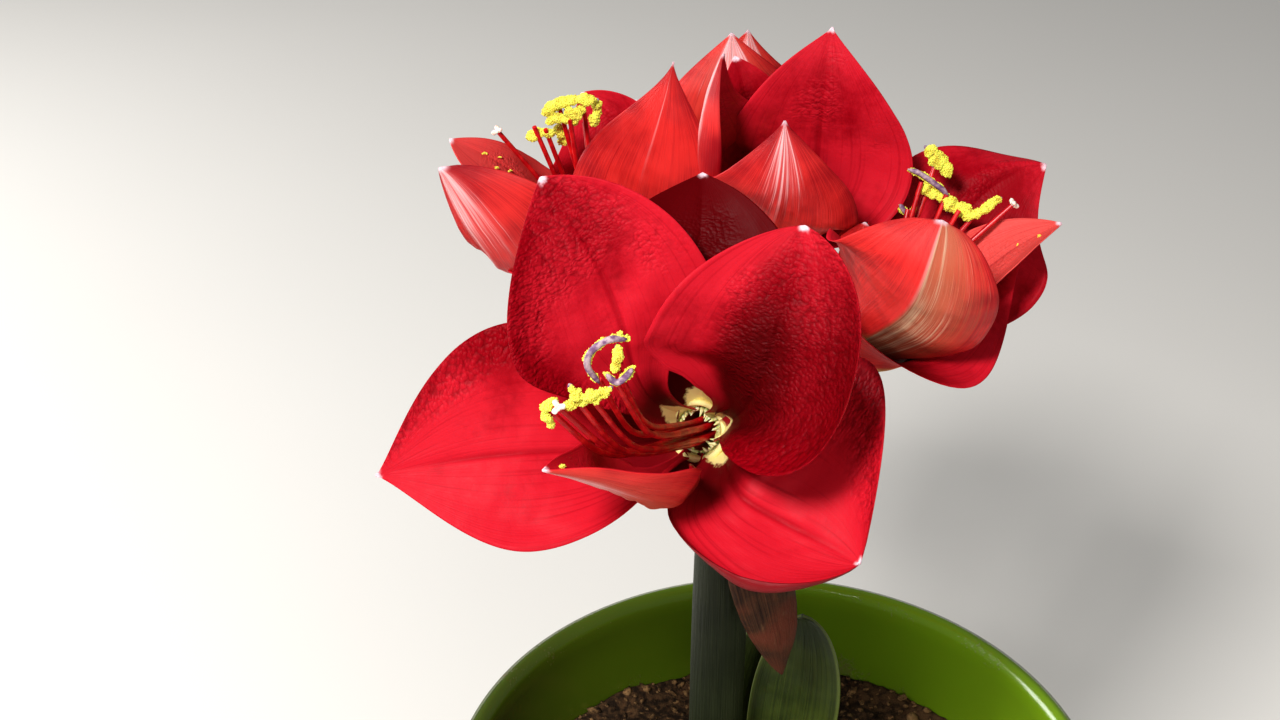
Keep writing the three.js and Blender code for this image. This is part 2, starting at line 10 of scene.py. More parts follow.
import bpy
import numpy as np
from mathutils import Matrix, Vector


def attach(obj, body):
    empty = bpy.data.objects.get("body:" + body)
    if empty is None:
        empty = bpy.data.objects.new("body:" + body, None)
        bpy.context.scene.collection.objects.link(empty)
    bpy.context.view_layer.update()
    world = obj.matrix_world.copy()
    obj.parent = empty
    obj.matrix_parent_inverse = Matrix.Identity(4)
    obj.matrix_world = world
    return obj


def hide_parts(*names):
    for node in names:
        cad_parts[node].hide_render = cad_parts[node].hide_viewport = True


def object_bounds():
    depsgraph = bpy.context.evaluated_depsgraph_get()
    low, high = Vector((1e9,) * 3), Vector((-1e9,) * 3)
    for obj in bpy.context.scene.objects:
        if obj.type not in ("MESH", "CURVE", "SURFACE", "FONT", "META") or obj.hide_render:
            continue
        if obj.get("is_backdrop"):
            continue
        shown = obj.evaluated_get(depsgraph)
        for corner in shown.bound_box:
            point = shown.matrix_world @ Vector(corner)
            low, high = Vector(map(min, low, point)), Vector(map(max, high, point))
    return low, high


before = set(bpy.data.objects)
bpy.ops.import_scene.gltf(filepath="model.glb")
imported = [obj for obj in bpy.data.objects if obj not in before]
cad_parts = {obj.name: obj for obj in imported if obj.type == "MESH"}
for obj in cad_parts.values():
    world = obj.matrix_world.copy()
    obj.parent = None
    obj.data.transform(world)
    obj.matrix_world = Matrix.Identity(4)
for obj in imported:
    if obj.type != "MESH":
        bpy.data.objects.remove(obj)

MM = 0.001
CAD_LOW, CAD_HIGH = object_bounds()
print("nodes:", len(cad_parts), "height:", round(CAD_HIGH.z - CAD_LOW.z, 3), "m")

# %% [markdown]
# ## Camera
# The photograph looks down on the front bloom from a little above it, and the pot is cut by the picture's
# lower edge. A camera is placed in millimetres, turned down by one angle, and its lens follows from
# how many pixels one radian takes in the picture.

# %% Camera
PICTURE_WIDTH = 1280          # pixels
PICTURE_FOCAL = 2000          # pixels
SENSOR = 36                   # mm
CAMERA_AT = (-58.1, -619.9, 828.4)
CAMERA_DOWN = 32.9            # degrees below the horizon

lens = bpy.data.cameras.new("camera")
lens.sensor_width = SENSOR
lens.lens = SENSOR * PICTURE_FOCAL / PICTURE_WIDTH
lens.clip_start = 0.01
camera = bpy.data.objects.new("camera", lens)
bpy.context.scene.collection.objects.link(camera)
camera.location = [c * MM for c in CAMERA_AT]
camera.rotation_euler = (math.radians(90 - CAMERA_DOWN), 0, 0)
bpy.context.scene.camera = camera
print("lens:", lens.lens, "mm")

# %% [markdown]
# ## Floor and light
# A plain pale floor carries the pot and is also the background, because the camera looks down. The main light
# is a soft box high in front on the left. A weak wide one in front on the right and a pale sky fill the
# shadows, and a large one behind on the left brightens the floor and the edges of the petals.

# %% Floor and light
LIGHT_TARGET = (-10, 0, 430)  # mm, among the flowers
LIGHTS = {                    # where it stands and its width in mm, power in watts, colour
    "key": ((-500, -910, 1530), 260, 24, (1.0, 0.99, 0.98)),
    "front": ((250, -1300, 800), 600, 4, (1.0, 0.99, 0.98)),
    "side": ((-1500, 700, 900), 900, 22, (1.0, 1.0, 1.0)),
}
SKY_COLOUR = (0.95, 0.97, 1.0)
SKY_STRENGTH = 0.17

for name, (at, size, power, colour) in LIGHTS.items():
    light = bpy.data.lights.new(name, "AREA")
    light.shape = "SQUARE"
    light.size = size * MM
    light.energy = power
    light.color = colour
    lamp = bpy.data.objects.new(name, light)
    bpy.context.scene.collection.objects.link(lamp)
    lamp.location = [c * MM for c in at]
    aim = Vector(LIGHT_TARGET) * MM - lamp.location
    lamp.rotation_euler = aim.to_track_quat("-Z", "Y").to_euler()
print("lights:", *LIGHTS)

sky = bpy.data.worlds.new("sky")
sky.use_nodes = True
sky.node_tree.nodes["Background"].inputs["Color"].default_value = (*SKY_COLOUR, 1)
sky.node_tree.nodes["Background"].inputs["Strength"].default_value = SKY_STRENGTH
bpy.context.scene.world = sky
bpy.context.scene.view_settings.view_transform = "Standard"
bpy.context.scene.view_settings.look = "Medium High Contrast"


# %% [markdown]
# ## Sums with sockets
# A material is a net of nodes, and most of them only add, multiply or mix. The first class lets Python write
# such sums: `1 - mask` adds the Math node for it and gives its result back. One method of the net adds any
# other node, with its settings first and its sockets after. Materials and Geometry Nodes both are such nets.

# %% Sums with sockets
class Wire:
    """A node's output that can be used in sums."""

    def __init__(self, net, socket):
        self.net = net
        self.socket = socket

    def math(self, operation, *values):
        return self.net.add("ShaderNodeMath", {"operation": operation}, dict(enumerate(values)))

    def __add__(self, other):
        return self.math("ADD", self, other)

    def __sub__(self, other):
        return self.math("SUBTRACT", self, other)

    def __rsub__(self, other):
        return self.math("SUBTRACT", other, self)

    def __mul__(self, other):
        return self.math("MULTIPLY", self, other)

    def __truediv__(self, other):
        return self.math("DIVIDE", self, other)

    def __pow__(self, other):
        return self.math("POWER", self, other)

    def __abs__(self):
        return self.math("ABSOLUTE", self)

    def at_least(self, least):
        return self.math("MAXIMUM", self, least)

    __radd__ = __add__
    __rmul__ = __mul__


class Net:
    """A tree of nodes, and the one method that adds any node to it."""

    def __init__(self, tree):
        self.tree = tree

    def feed(self, socket, value):
        """Links a wire to a socket, or sets the socket's own value."""
        if isinstance(value, Wire):
            self.tree.links.new(value.socket, socket)
        elif socket.type == "RGBA":
            socket.default_value = (*value, 1)
        else:
            socket.default_value = value

    def add(self, kind, settings=(), sockets=(), out=0):
        """Adds a node, settings first, and returns one of its outputs."""
        node = self.tree.nodes.new(kind)
        for label, value in dict(settings).items():
            setattr(node, label, value)
        for label, value in dict(sockets).items():
            self.feed(node.inputs[label], value)
        return Wire(self, node.outputs[out])

    def vector(self, x, y, z):
        return self.add("ShaderNodeCombineXYZ", {}, {0: x, 1: y, 2: z})

    def scaled(self, vector, by):
        return self.add("ShaderNodeVectorMath", {"operation": "SCALE"}, {0: vector, "Scale": by})


class Finish(Net):
    """A material with one Principled shader."""

    def __init__(self, name, shine=0.5, glow=0.0, reach=1.0, **constants):
        """shine is the specular level, glow the share of light that spreads reach mm under the skin."""
        self.material = bpy.data.materials.new(name)
        self.material.use_nodes = True
        super().__init__(self.material.node_tree)
        self.tree.nodes.clear()
        self.shader = self.tree.nodes.new("ShaderNodeBsdfPrincipled")
        output = self.tree.nodes.new("ShaderNodeOutputMaterial")
        self.tree.links.new(self.shader.outputs[0], output.inputs["Surface"])
        constants.update(Specular_IOR_Level=shine, Subsurface_Weight=glow, Subsurface_Scale=reach * MM)
        for label, value in constants.items():
            self.feed(self.shader.inputs[label.replace("_", " ")], value)

    def paint(self, colour, *layers):
        """A first colour under layers of other colours, each with its share."""
        for over, share in layers:
            sockets = {0: share, 6: colour, 7: over}
            colour = self.add("ShaderNodeMix", {"data_type": "RGBA"}, sockets, out=2)
        return colour

    def step(self, value, low, high):
        """0 below low, 1 above high and smooth between; low may be the higher one."""
        settings = {"interpolation_type": "SMOOTHSTEP"}
        return self.add("ShaderNodeMapRange", settings, {0: value, 1: low, 2: high})

    def parts(self, vector):
        """The three numbers of a vector."""
        split = self.add("ShaderNodeSeparateXYZ", {}, {0: vector}).socket.node
        return [Wire(self, socket) for socket in split.outputs]

    def values(self, name):
        """The three numbers that the mesh keeps for every point under a name."""
        return self.parts(self.add("ShaderNodeAttribute", {"attribute_name": name}, {}, out="Vector"))

    def place(self):
        """Object coordinates in millimetres."""
        return self.scaled(self.add("ShaderNodeTexCoord", {}, {}, out="Object"), 1 / MM)

    def noise(self, at, scale, detail=2.0, roughness=0.5):
        """Noise at a vector, or at three numbers."""
        vector = self.vector(*at) if isinstance(at, tuple) else at
        sockets = {"Vector": vector, "Scale": scale, "Detail": detail, "Roughness": roughness}
        return self.add("ShaderNodeTexNoise", {}, sockets)

    def finish(self, colour, roughness, height=None):
        """Feeds the shader. The height is in millimetres."""
        self.feed(self.shader.inputs["Base Color"], colour)
        self.feed(self.shader.inputs["Roughness"], roughness)
        if height is not None:
            sockets = {"Strength": 1.0, "Distance": MM, "Height": height}
            self.feed(self.shader.inputs["Normal"], self.add("ShaderNodeBump", {}, sockets))
        return self.material


def plain_finish(name, shine, glow, noise, dark, light, share, roughness, height):
    """Two colours, mixed by a noise of one scale and detail between two levels of it."""
    f = Finish(name, shine, glow)
    slow = f.noise(f.place(), *noise)
    return f.finish(f.paint(dark, (light, f.step(slow, *share))), roughness, slow * height)


# %% [markdown]
# ## Meshes from grids
# Petals, leaves, stems and the pot are all grids of points: rows along the piece, columns round it. One
# helper turns such grids into one closed mesh and keeps, for every point, the values that a material wants to
# read. Writing the points with numpy is quick, and the shape stays a formula.

# %% Meshes from grids
class Shell:
    """Collects grids of points in millimetres, then makes one object of them."""

    def __init__(self):
        self.points, self.faces, self.slots, self.values = [], [], [], {}
        self.count = 0

    def ring_grid(self, points, slots=0, values=None, close=True):
        """Rows of closed rings. points is rows x columns x 3, slots one number or one for each column."""
        rows, columns = points.shape[:2]
        values = values or {}
        index = self.count + np.arange(rows * columns).reshape(rows, columns)
        ahead = np.roll(index, -1, axis=1)
        quads = np.stack([index[:-1], ahead[:-1], ahead[1:], index[1:]], -1)
        kinds = np.broadcast_to(np.asarray(slots), (rows - 1, columns))
        self.points.append(points.reshape(-1, 3))
        self.faces.extend(quads.reshape(-1, 4).tolist())
        self.slots.extend(kinds.reshape(-1).tolist())
        for label, value in values.items():
            self.values.setdefault(label, []).append(value.reshape(-1, 3))
        self.count += rows * columns
        if close:
            self.cap(index[0][::-1], points[0].mean(0), values, 0)
            self.cap(index[-1], points[-1].mean(0), values, -1)

    def cap(self, ring, middle, values, row):
        """Closes a ring with a fan of triangles."""
        self.points.append(middle[None])
        for label, value in values.items():
            self.values[label].append(value[row].mean(0)[None])
        for a, b in zip(ring, np.roll(ring, -1)):
            self.faces.append([int(a), int(b), self.count])
            self.slots.append(self.slots[-1] if row else self.slots[0])
        self.count += 1

    def make(self, name, *materials):
        mesh = bpy.data.meshes.new(name)
        mesh.from_pydata(np.concatenate(self.points) * MM, [], self.faces)
        for label, value in self.values.items():
            keep_vectors(mesh, label, np.concatenate(value))
        for material in materials:
            mesh.materials.append(material)
        mesh.polygons.foreach_set("material_index", self.slots)
        mesh.polygons.foreach_set("use_smooth", [True] * len(self.faces))
        turn_out(mesh)
        return place_object(name, mesh)


def keep_vectors(mesh, label, values):
    """Keeps three numbers for every point of a mesh."""
    data = mesh.attributes.new(label, "FLOAT_VECTOR", "POINT").data
    data.foreach_set("vector", np.asarray(values, np.float32).ravel())


def turn_out(mesh):
    """Turns the faces of a closed mesh outwards if its volume comes out negative."""
    mesh.update()
    mesh.calc_loop_triangles()
    place = np.zeros(3 * len(mesh.vertices), np.float32)
    mesh.vertices.foreach_get("co", place)
    index = np.zeros(3 * len(mesh.loop_triangles), np.int32)
    mesh.loop_triangles.foreach_get("vertices", index)
    corners = place.reshape(-1, 3)[index.reshape(-1, 3)]
    volume = np.einsum("ij,ij->i", corners[:, 0], np.cross(corners[:, 1], corners[:, 2])).sum()
    if volume < 0:
        mesh.flip_normals()


def place_object(name, data):
    """An object at the origin, in the scene."""
    thing = bpy.data.objects.new(name, data)
    bpy.context.scene.collection.objects.link(thing)
    return thing


def plain_copy(name, thing):
    """Replaces an object by the plain mesh that its modifiers give."""
    bpy.context.view_layer.update()
    ready = thing.evaluated_get(bpy.context.evaluated_depsgraph_get())
    mesh = bpy.data.meshes.new_from_object(ready)
    thing.modifiers.clear()
    bpy.data.objects.remove(thing)
    mesh.name = name
    return place_object(name, mesh)


def dress(piece, node):
    """Every piece rides on the one body and stands for its node."""
    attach(piece, "root")
    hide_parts(node)
    print(piece.name, "-", len(piece.data.polygons), "faces")


# %% [markdown]
# ## Small formulas
# A grown surface is never even. `ripples` adds a few sine waves of random direction, from a fixed seed, which
# is smooth, quick and the same on each run. The rest are the usual unit vector and smooth step, a circle of
# angles, two ways to draw a smooth line, and a tube along such a line.

# %% Small formulas
def unit(v):
    v = np.asarray(v, float)
    return v / np.maximum(np.linalg.norm(v, axis=-1, keepdims=True), 1e-12)


def smooth(x):
    x = np.clip(x, 0, 1)
    return x * x * (3 - 2 * x)


def circle(count):
    return np.linspace(0, 2 * np.pi, count, endpoint=False)


def ripples(x, y, wavelength, seed, waves=6):
    """Smooth random relief between about -1 and 1."""
    draw = np.random.default_rng(seed)
    total = 0
    for _ in range(waves):
        turn = draw.uniform(0, 2 * np.pi)
        length = wavelength * draw.uniform(0.7, 1.5)
        phase = draw.uniform(0, 2 * np.pi)
        total = total + np.sin(2 * np.pi * (x * np.cos(turn) + y * np.sin(turn)) / length + phase)
    return total / waves ** 0.5 / 1.4


def even_steps(line, count):
    """A finer or coarser copy of a line, in equal steps, with its tangents and its length."""
    length = np.concatenate([[0], np.cumsum(np.linalg.norm(np.diff(line, axis=0), axis=1))])
    at = np.linspace(0, length[-1], count + 1)
    even = np.stack([np.interp(at, length, line[:, k]) for k in range(3)], -1)
    return even, unit(np.gradient(even, axis=0)), length[-1]


def bezier(points, count):
    """A cubic curve on four points, in equal steps."""
    a, b, c, d = np.asarray(points, float)
    t = np.linspace(0, 1, 12 * count + 1)[:, None]
    line = (1 - t) ** 3 * a + 3 * (1 - t) ** 2 * t * b + 3 * (1 - t) * t ** 2 * c + t ** 3 * d
    return even_steps(line, count)


def through(points, count):
    """A smooth line through points, in equal steps."""
    p = np.asarray(points, float)
    p = np.vstack([2 * p[0] - p[1], p, 2 * p[-1] - p[-2]])
    t = np.linspace(0, 1, 24, endpoint=False)[:, None]
    line = []
    for a, b, c, d in zip(p[:-3], p[1:-2], p[2:-1], p[3:]):
        line.append(b + 0.5 * ((c - a) * t + (2 * a - 5 * b + 4 * c - d) * t ** 2
                               + (3 * b - a - 3 * c + d) * t ** 3))
    return even_steps(np.vstack(line + [p[-2:-1]]), count)


def tube_along(shell, line, along, radii, columns=40, up=(0.3, 0.9, 0.1), flat=1.0, shift=0.0):
    """A closed tube of given radii along a line. flat and shift act towards its upper side."""
    side = unit(np.cross(along, up))
    lift = np.cross(side, along)
    turn = circle(columns)
    ring = np.cos(turn)[:, None] * side[:, None] + flat * np.sin(turn)[:, None] * lift[:, None]
    shell.ring_grid((line + lift * shift)[:, None] + radii[:, None, None] * ring)


# %% [markdown]
# ## Petal finish
# Inside, an amaryllis petal is velvety crimson with fine veins that run from root to tip, and between them
# the skin is blistered into rows of small pebbles. Some zones are rougher than the rest. Shade is painted
# darker: in the rough zones and between their pebbles, along the midrib's crease, deep in the throat and in
# spots of painted shade. Each petal's tone paints it lighter where it is lit and darker, down to nearly
# black, where it lies in shade; a high tone makes it coral. Outside a petal is lighter and more orange, with
# white streaks on the keel, a green-white root and, on one petal, a wash of tan; where a margin turns down,
# its outside is painted in shade. Everything follows the petal's own lengths: each point carries its
# millimetres along and across, so the pattern has its true size.

# %% Petal finish
# painted shade: the nearly black crimson of hollows and of petals that lie in shade
SHADE_RED = (0.07, 0.0, 0.001)
DEEP_RED = (0.26, 0.0005, 0.007)
BRIGHT_RED = (0.53, 0.013, 0.028)
CORAL_RED = (0.66, 0.085, 0.075)
ORANGE_RED = (0.66, 0.031, 0.028)
# painted shade for an outside that turns down, away from the light
UNDERSIDE_SHADE_RED = (0.15, 0.0, 0.005)
STREAK_WHITE = (0.86, 0.50, 0.50)
TIP_WHITE = (0.88, 0.62, 0.68)
THROAT_CREAM = (0.98, 0.88, 0.38)
KEEL_GREEN = (0.42, 0.40, 0.14)
STREAK_PINK = (0.74, 0.20, 0.20)
STREAK_TAN = (0.36, 0.17, 0.08)
STREAK_BROWN = (0.20, 0.06, 0.025)
STREAK_CREAM = (0.66, 0.50, 0.34)
VEINS = 30                    # across one half
STREAKS = 16                  # across one half
HAIRS = 80                    # across one half
WRINKLE = 1.6                 # mm across
WRINKLE_ROW = 1.05            # mm along


def petal_inside():
    f = Finish("petal_inside", 0.07, 0.10, Subsurface_Radius=(1.0, 0.1, 0.08))
    u, v, tone = f.values("blade")
    x, y, seed = f.values("flat")
    rough, bare, shade = f.values("rough")
    flat = f.vector(x, y, seed)
    slow = f.noise(flat, 0.045, 3)
    fine = f.noise(flat, 0.5, 4)
    warp = f.noise(flat, 0.22)
    vein = f.noise((v * VEINS, u * 1.5, seed), 1.0)
    bent = f.vector(x / WRINKLE + warp * 1.6, y / WRINKLE_ROW + warp * 2.4, seed)
    scale = f.add("ShaderNodeTexVoronoi", {}, {"Vector": bent, "Scale": 1.0})
    away = abs(v)
    # the rough spots also paint shade: they dim the bright share and darken the gaps between pebbles
    zone = f.step(rough + (slow - 0.5) * 1.4, 0.15, 0.75)
    # the midrib's crease is also painted darker, as shade in its fold
    crease = f.step(away, 0.05, 0.0) * f.step(u, 1.0, 0.6)
    coral = f.step(tone, 0.3, 0.6)
    # painted shade deep in the throat, with less of it towards the margins
    root = f.step(u, 0.36, 0.16) * (0.75 - f.step(away, 0.5, 0.9) * 0.4)
    tip = f.step(u + fine * 0.03, 0.988, 1.008) * f.step(abs(x), 2.4, 0.8)
    # The dark layers below are painted shade: between the pebbles, on petals of low tone, deep in the throat
    # and in the shade spots.
    colour = f.paint(
        DEEP_RED,
        # painted light: the bright share rises with the petal's tone and falls in the rough spots, as painted
        # shade
        (BRIGHT_RED, f.step(slow * 0.9 + fine * 0.3 + tone - rough * 0.5, 0.15, 0.62)),
        (CORAL_RED, coral),
        (DEEP_RED, f.step(vein, 0.52, 0.70) * 0.35),
        (DEEP_RED, crease * 0.6),
        (SHADE_RED, f.step(scale, 0.45, 0.85) * zone * (1 - coral) * 0.4),
        (SHADE_RED, f.step(tone, -0.2, -0.7) * 0.85),
        (SHADE_RED, root),
        (SHADE_RED, f.step(shade + (slow - 0.5) * 0.4, 0.1, 0.9) * 0.9),
        (THROAT_CREAM, f.step(u + bare + away * 0.12 + fine * 0.08, 0.190, 0.160)),
        (TIP_WHITE, tip))
    height = scale * -0.50 * (0.05 + zone) + fine * 0.25 * (0.15 + zone) - vein * 0.12 - crease * 0.15
    return f.finish(colour, 0.38 + 0.2 * fine, height)


def petal_outside():
    f = Finish("petal_outside", 0.25, 0.12, 1.2, Subsurface_Radius=(1.0, 0.15, 0.1))
    u, v, tone = f.values("blade")
    x, y, seed = f.values("flat")
    pale_left, pale_right, keel = f.values("pale")
    slow = f.noise((x, y, seed), 0.05, 3)
    streak = f.noise((v * STREAKS, u * 1.4, seed), 1.0, 4, 0.6)
    hair = f.noise((v * HAIRS, u * 3, seed), 1.0, 3, 0.6)
    away = abs(v)
    side = f.step(v, -0.03, 0.03)
    pale = pale_left * (1 - side) + pale_right * side
    bold = keel.at_least(0.0)
    patch = f.step(away - bold * 0.3, 0.2, -0.2) * f.step(u, 0.35, 0.98) * bold
    line = f.step(away, 0.03, 0.005) * f.step(u, 0.45, 0.95) * bold
    wash = pale * f.step(away * 0.7 + streak * 0.8 - u * 0.2, 0.95, 0.35)
    cream = f.step(streak * 0.9 + hair * 0.6 + pale * 0.28 - away * 0.25, 0.86, 1.12) * pale
    pink = f.step(streak * 0.5 + hair * 0.3 + patch * 0.6, 0.66, 1.45)
    white = f.step(streak * 1.3 + hair * 0.7 + patch * 0.38, 1.28, 1.66)
    colour = f.paint(
        DEEP_RED,
        # the tone paints the outside lighter where the petal is lit and darker where it is in shade
        (ORANGE_RED, f.step(slow * 0.8 + hair * 0.5 + tone - away * 0.15, 0.30, 0.70)),
        (DEEP_RED, f.step(streak, 0.48, 0.68) * (0.30 + 0.4 * patch)),
        (STREAK_TAN, wash * 0.8),
        (STREAK_BROWN, pale * f.step(u + away * 0.4, 0.85, 0.35) * 0.7),
        (STREAK_CREAM, cream * 0.8),
        (STREAK_PINK, pink * 0.7),
        (STREAK_WHITE, white * 0.85),
        (STREAK_WHITE, line * 0.8),
        # a keel below zero paints the outside in shade, as on a margin turned down
        (UNDERSIDE_SHADE_RED, f.step(keel, 0.0, -1.0) * 0.9),
        (KEEL_GREEN, f.step(u + away * 0.8, 0.30, 0.10) * 0.7),
        (TIP_WHITE, f.step(u, 0.975, 1.0) * f.step(abs(x), 3.0, 1.0)))
    height = hair * 0.14 + streak * 0.35 - line * 0.3 + slow * 0.4
    return f.finish(colour, 0.40 + 0.2 * hair, height)


PETAL_INSIDE = petal_inside()
PETAL_OUTSIDE = petal_outside()

# %% [markdown]
# ## The blade
# Petals, leaves and bracts are all blades: a midrib curve in space with a curved section across it. The rule
# is the one that the construction uses, with more rows and columns, plus what a coarse solid can't show: a
# groove along the midrib, soft waves, curls in one place of a margin and a margin that gets thin. Such a rule
# keeps each petal where it was set out, and every point still knows how far along and across it is.

# %% The blade
BLADE = dict(
    rise=45, hold=40, width=60, claw=0.2, fullest=0.52, point=0.9, cup=(75, 35, 30), edge=(0, 0), keel=0,
    skew=0, wave=0.6, waves=2.5, phase=0, thickness=0.8, thin=0.45, groove=0.7, soft=0.7, curls=(),
    ease=1.4, tone=0.0, bare=0.0, shade=(), pale=(0.0, 0.0, 0.5), rough=((0.75, 0.0, 0.2, 0.7, 0.5),),
    rows=66, columns=24)
LEAST_HALF = 0.35             # mm, half the width of a tip
GROOVE = 1.5                  # mm, half the width of the midrib's groove
SOFT_WAVE = 26                # mm
SMALL_WAVE = 8                # mm
STIFF = 12                    # mm of half width, below which a blade has less waves
SEED_STEP = 37.0              # keeps the patterns of two blades apart


def half_width(b, u):
    widen = b["claw"] + (1 - b["claw"]) * np.sin(np.clip(u / b["fullest"], 0, 1) * np.pi / 2) ** b["ease"]
    narrow = np.maximum(1 - np.clip((u - b["fullest"]) / (1 - b["fullest"]), 0, 1) ** 2, 0) ** b["point"]
    return np.maximum(b["width"] / 2 * widen * narrow, LEAST_HALF)


def cup_angle(b, u):
    root, middle, tip = b["cup"]
    first = root + (middle - root) * smooth(2 * u)
    return np.radians(np.where(u < 0.5, first, middle + (tip - middle) * smooth(2 * u - 1)))


def half_blade(b, u, v, half, k, way):
    """Across, up and lean of one half's points. The section bends step by step and keeps its length."""
    steps = np.linspace(0, 1, 8 * b["columns"] + 1)
    vm = (steps[1:] + steps[:-1]) / 2
    edge = np.radians(b["edge"][k]) * np.sin(np.pi * u) ** 0.7
    angle = (np.radians(b["keel"]) * u)[:, None] + cup_angle(b, u)[:, None] * vm + edge[:, None] * vm ** 3
    for where, at, spread, degrees, begin in b["curls"]:
        if where == way:
            local = np.exp(-((u - at) / spread) ** 2)
            angle = angle + np.radians(degrees) * local[:, None] * smooth((vm - begin) / 0.3)
    reach = (half * (1 + way * b["skew"]) / len(vm))[:, None]
    sums = [np.concatenate([np.zeros((len(u), 1)), np.cumsum(part(angle) * reach, 1)], 1)
            for part in (np.cos, np.sin)]
    x, y = (np.array([np.interp(v, steps, row) for row in part]) for part in sums)
    lean = np.array([np.interp(v, vm, row) for row in angle])
    ripple = np.sin(2 * np.pi * (b["waves"] * u + b["phase"] + (0.37 if way > 0 else 0)))
    return x, y + b["wave"] * (ripple * np.sin(np.pi * u) ** 0.5)[:, None] * v ** 2, lean


def spots(u, v, zones):
    """The sum of soft spots, each with its place along and across, its two spreads and its strength."""
    total = 0 * u
    for u0, v0, du, dv, much in zones:
        total = total + much * np.exp(-((u - u0) / du) ** 2 - ((v - v0) / dv) ** 2)
    return total


def triple(shape, *values):
    """Three numbers for every point."""
    return np.stack([np.broadcast_to(value, shape) for value in values], -1).astype(float)


def blade(shell, b, curve, start, face, seed, slots=(0, 1)):
    """Adds a closed blade along a cubic curve. start and face are where its inner side looks."""
    mid, along, length = bezier(curve, b["rows"])
    u = np.linspace(0, 1, b["rows"] + 1)
    turn = smooth(u / 0.6)[:, None]
    n = (1 - turn) * unit(start) + turn * unit(face)
    n = unit(n - along * (n * along).sum(1, keepdims=True))
    side = np.cross(n, along)
    half = half_width(b, u)
    v = np.linspace(0, 1, b["columns"] + 1) ** 1.2
    xl, yl, al = half_blade(b, u, v, half, 0, -1)
    xr, yr, ar = half_blade(b, u, v, half, 1, 1)
    x = np.concatenate([-xl[:, :0:-1], xr], 1)
    y = np.concatenate([yl[:, :0:-1], yr], 1)
    lean = np.concatenate([al[:, :0:-1], -ar], 1)
    across = np.concatenate([-v[:0:-1], v])[None, :].repeat(len(u), 0)
    far = u[:, None] * length + 0 * across
    wide = across * half[:, None]
    y = y - b["groove"] * np.exp(-(wide / GROOVE) ** 2) * (np.sin(np.pi * u) ** 0.5)[:, None]
    room = np.minimum(1, half / STIFF)[:, None] * np.sin(np.pi * np.clip(u * 1.15 - 0.08, 0, 1))[:, None]
    relief = ripples(wide, far, SOFT_WAVE, seed) + 0.3 * ripples(wide, far, SMALL_WAVE, seed + 1)
    y = y + b["soft"] * room * relief
    centre = mid[:, None] + side[:, None] * x[..., None] + n[:, None] * y[..., None]
    normal = n[:, None] * np.cos(lean)[..., None] + side[:, None] * np.sin(lean)[..., None]
    thick = b["thickness"] * (b["thin"] + (1 - b["thin"]) * (1 - np.abs(across) ** 5)) / 2
    inner = centre + normal * thick[..., None]
    outer = centre - normal * thick[..., None]
    count = across.shape[1]
    ring = np.concatenate([inner, outer[:, ::-1]], 1)
    kinds = np.array([slots[0]] * count + [slots[1]] * (count - 1) + [slots[0]])
    pu, pv, far, wide = [np.concatenate([part, part[:, ::-1]], 1)
                         for part in (u[:, None] + 0 * across, across, far, wide)]
    # the rough spots also paint shade on the inner face, and the shade spots are painted shade
    rough, shade = (spots(pu, pv, b[zones]) for zones in ("rough", "shade"))
    shell.ring_grid(ring, kinds, {
        "flat": triple(pu.shape, wide, far, SEED_STEP * seed), "blade": triple(pu.shape, pu, pv, b["tone"]),
        "pale": triple(pu.shape, *b["pale"]), "rough": triple(pu.shape, rough, b["bare"], shade)})
    return inner


# %% [markdown]
# ## Five blooms
# An umbel carries five wide trumpets. Each has three outer and three inner petals on a short tube. Every
# petal is set out by its root's turn round the axis, by its tip, by its direction there, by where its inner
# face looks and by its width. These lines are the construction's own, in millimetres and degrees. Added here
# are: curls (side, place, spread, degrees, where they begin), the rough spots, which are also painted darker
# as shade, the spots of painted shade, and the tones, which paint a petal lighter where lit and darker where
# in shade.

# %% Five blooms
OUTER = dict(root=9.8, base=34)     # mm from the axis, degrees that it spreads at the root
INNER = dict(root=8.6, base=13)


def petal(ring, turn, tip, out, face, width, **more):
    return {**BLADE, **ring, "turn": turn, "tip": tip, "out": out, "face": face, "width": width, **more}
